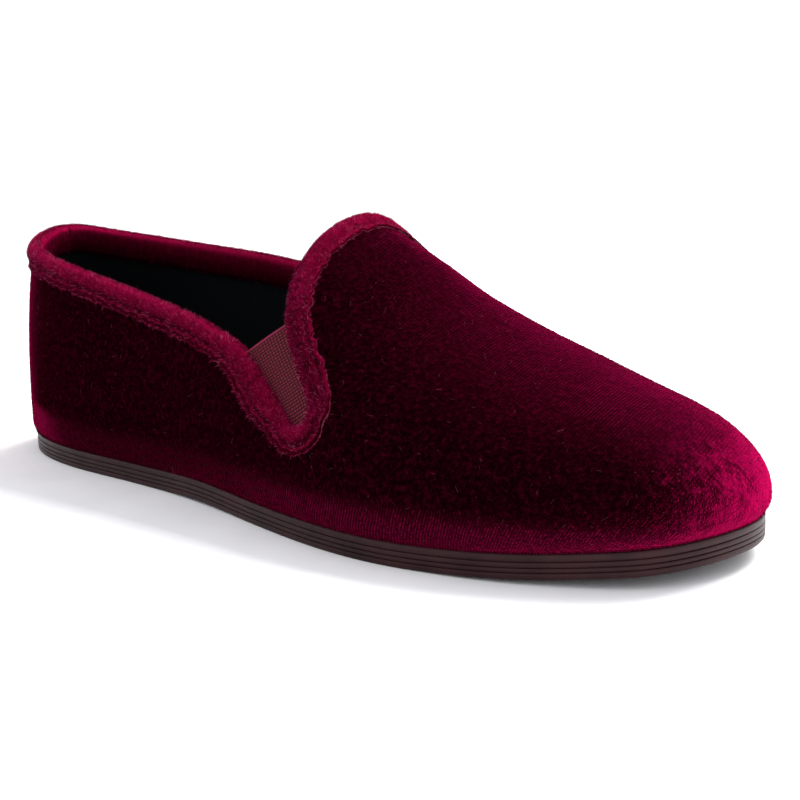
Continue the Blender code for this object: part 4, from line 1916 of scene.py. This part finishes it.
@dataclass
class Insole:
    """Footbed inside the upper."""

    last: Last
    thickness: float = 0.0033
    rounding: float = 0.0008
    dish: float = 0.0010
    stations: int = 300
    # Share of the thickness, inset as a share of the edge's rounding
    side: Table = ((0.0, 0.9), (0.25, 0.2), (0.50, 0.0), (0.85, 0.2), (0.95, 0.6), (1.0, 1.2))

    def build(self, cloth_finish: bpy.types.Material) -> None:
        """Make the footbed.

        Args:
            cloth_finish: Material.
        """
        last = self.last
        edge, centre = last.around(self.stations)
        wall_inset = last.wall + last.tuck_depth - last.overhang + last.gap
        base = last.sole_height + last.gap
        rings = [last.flat_ring(edge, centre, wall_inset, 0.02, base)]
        for height, rounding in self.side:
            inset = wall_inset + rounding * self.rounding
            rings.append(last.flat_ring(edge, centre, inset, 1.0, base + height * self.thickness))
        for share in np.linspace(0.97, 0.02, 24):
            sunk = self.thickness - self.dish * (1.0 - share**2)
            rings.append(last.flat_ring(edge, centre, inset, share, base + sunk))
        grid = np.stack(rings)
        faces = closed_flat(len(rings), self.stations)
        cloth = grid[:, :, :2].reshape(-1, 2)
        placed = last.to_row(grid.reshape(-1, 3))
        make_piece("footbed", placed, faces, cloth_finish, cloth, "insole")


# Studio


@dataclass(frozen=True)
class SoftLight:
    """One square soft light."""

    name: str
    place: tuple[float, float, float]
    aim: tuple[float, float, float]
    size: float
    watts: float
    colour: tuple[float, float, float] = (1.0, 1.0, 1.0)

    def build(self) -> None:
        """Hang the light and point it at its aim."""
        data = bpy.data.lights.new(self.name, "AREA")
        data.shape = "SQUARE"
        data.size = self.size
        data.energy = self.watts
        data.color = self.colour
        made = bpy.data.objects.new(self.name, data)
        bpy.context.scene.collection.objects.link(made)
        towards = Vector(self.aim) - Vector(self.place)
        made.rotation_euler = towards.to_track_quat("-Z", "Y").to_euler()
        made.location = self.place


@dataclass(frozen=True)
class Camera:
    """The photograph's viewpoint; the whole shoe needs a wider lens, turned towards the heel."""

    place: tuple[float, float, float] = (0.2692, -0.2633, 0.0998)
    yaw: float = 39.24
    pitch: float = 9.6426
    roll: float = -1.132
    lens: float = 79.98
    wider: float = 0.79
    turn: Span = (-111.0, -60.0)
    frame_pixels: float = 800.0
    film: float = 36.0

    def build(self, framing: Framing) -> None:
        """Place the camera.

        Args:
            framing: What the frame holds.
        """
        yaw, pitch, roll = (math.radians(angle) for angle in (self.yaw, self.pitch, self.roll))
        up = Vector((0.0, 0.0, 1.0))
        right = Vector((math.cos(yaw), math.sin(yaw), 0.0))
        level = Vector((-math.sin(yaw), math.cos(yaw), 0.0))
        ahead = level * math.cos(pitch) - up * math.sin(pitch)
        above = up * math.cos(pitch) + level * math.sin(pitch)
        side = right * math.cos(roll) + above * math.sin(roll)
        top = above * math.cos(roll) - right * math.sin(roll)
        lens = self.lens
        if framing is Framing.WHOLE_SHOE:
            focal = self.lens / self.film * self.frame_pixels
            ahead = (ahead + side * (self.turn[0] / focal) + top * (self.turn[1] / focal)).normalized()
            side = (side - ahead * side.dot(ahead)).normalized()
            top = side.cross(ahead)
            lens *= self.wider
        data = bpy.data.cameras.new("camera")
        data.lens = lens
        data.sensor_width = self.film
        data.clip_start = 0.01
        data.clip_end = 100.0
        made = bpy.data.objects.new("camera", data)
        bpy.context.scene.collection.objects.link(made)
        turned = Matrix((side, top, -ahead)).transposed().to_4x4()
        made.matrix_world = Matrix.Translation(Vector(self.place)) @ turned
        bpy.context.scene.camera = made


@dataclass(frozen=True)
class Studio:
    """White floor and surrounding light."""

    floor_size: float = 12.0
    surround: Colour = (0.96, 0.97, 1.0, 1.0)
    surround_strength: float = 1.12
    lights: tuple[SoftLight, ...] = (
        SoftLight("back_light", (0.05, 0.70, 0.74), (0.05, 0.0, 0.03), 0.8, 30.0),
        SoftLight("side_light", (0.67, 0.76, 0.23), (0.05, 0.0, 0.03), 0.5, 2.5),
    )

    def build(self, floor_finish: bpy.types.Material) -> None:
        """Lay the floor and set the lights.

        Args:
            floor_finish: Floor material.
        """
        half = 0.5 * self.floor_size
        corners = [(-half, -half, 0.0), (half, -half, 0.0), (half, half, 0.0), (-half, half, 0.0)]
        data = bpy.data.meshes.new("floor")
        data.from_pydata(corners, [], [(0, 1, 2, 3)])
        data.materials.append(floor_finish)
        floor = bpy.data.objects.new("floor", data)
        bpy.context.scene.collection.objects.link(floor)
        world = bpy.data.worlds.new("studio")
        world.use_nodes = True
        background = world.node_tree.nodes["Background"]
        background.inputs["Color"].default_value = self.surround
        background.inputs["Strength"].default_value = self.surround_strength
        bpy.context.scene.world = world
        for light in self.lights:
            light.build()


def main() -> None:
    """Build the slipper piece by piece, then the studio."""
    logging.basicConfig(level=logging.INFO, format="%(name)s: %(message)s")
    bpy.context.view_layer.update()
    last = Last()
    surface = LastSurface(last)
    body_pile = PileFinish(
        "body_pile",
        root=(0.003, 0.0001, 0.0005, 1.0),
        tip=(0.026, 0.0003, 0.0042, 1.0),
        painted_glint=(0.160, 0.0060, 0.0320, 1.0),
    )
    strip_pile = PileFinish(
        "strip_pile",
        root=(0.008, 0.0001, 0.0012, 1.0),
        tip=(0.052, 0.0003, 0.0072, 1.0),
        painted_glint=(0.430, 0.0060, 0.0800, 1.0),
        sheen=(1.0, 0.02, 0.18, 1.0),
        sheen_weight=0.12,
    )
    edge_threads = PileFinish(
        "edge_threads",
        root=(0.240, 0.0080, 0.0550, 1.0),
        tip=(0.520, 0.0600, 0.1680, 1.0),
        painted_glint=(0.790, 0.2400, 0.3700, 1.0),
    )
    lint = PileFinish(
        "lint",
        root=(0.100, 0.0200, 0.0300, 1.0),
        tip=(0.160, 0.0500, 0.0600, 1.0),
        painted_glint=(0.240, 0.0900, 0.1100, 1.0),
    )
    Outsole(last).build(RubberFinish().build())
    Insole(last).build(LiningFinish("footbed_cloth").build())
    lining = LiningFinish("lining_cloth").build()
    Upper(last).build(VelvetFinish().build(), lining, body_pile.build(), lint.build())
    Binding(surface).build(StripFinish().build(), strip_pile.build(), edge_threads.build())
    Gore(surface, Side.OUTER, "gore_outer").build(ElasticFinish("gore_elastic_outer").build())
    Gore(surface, Side.INNER, "gore_inner").build(ElasticFinish("gore_elastic_inner").build())
    Studio().build(FloorFinish().build())
    Camera().build(Framing.WHOLE_SHOE)
    bpy.context.scene.view_settings.view_transform = "Standard"


if __name__ == "__main__":
    main()
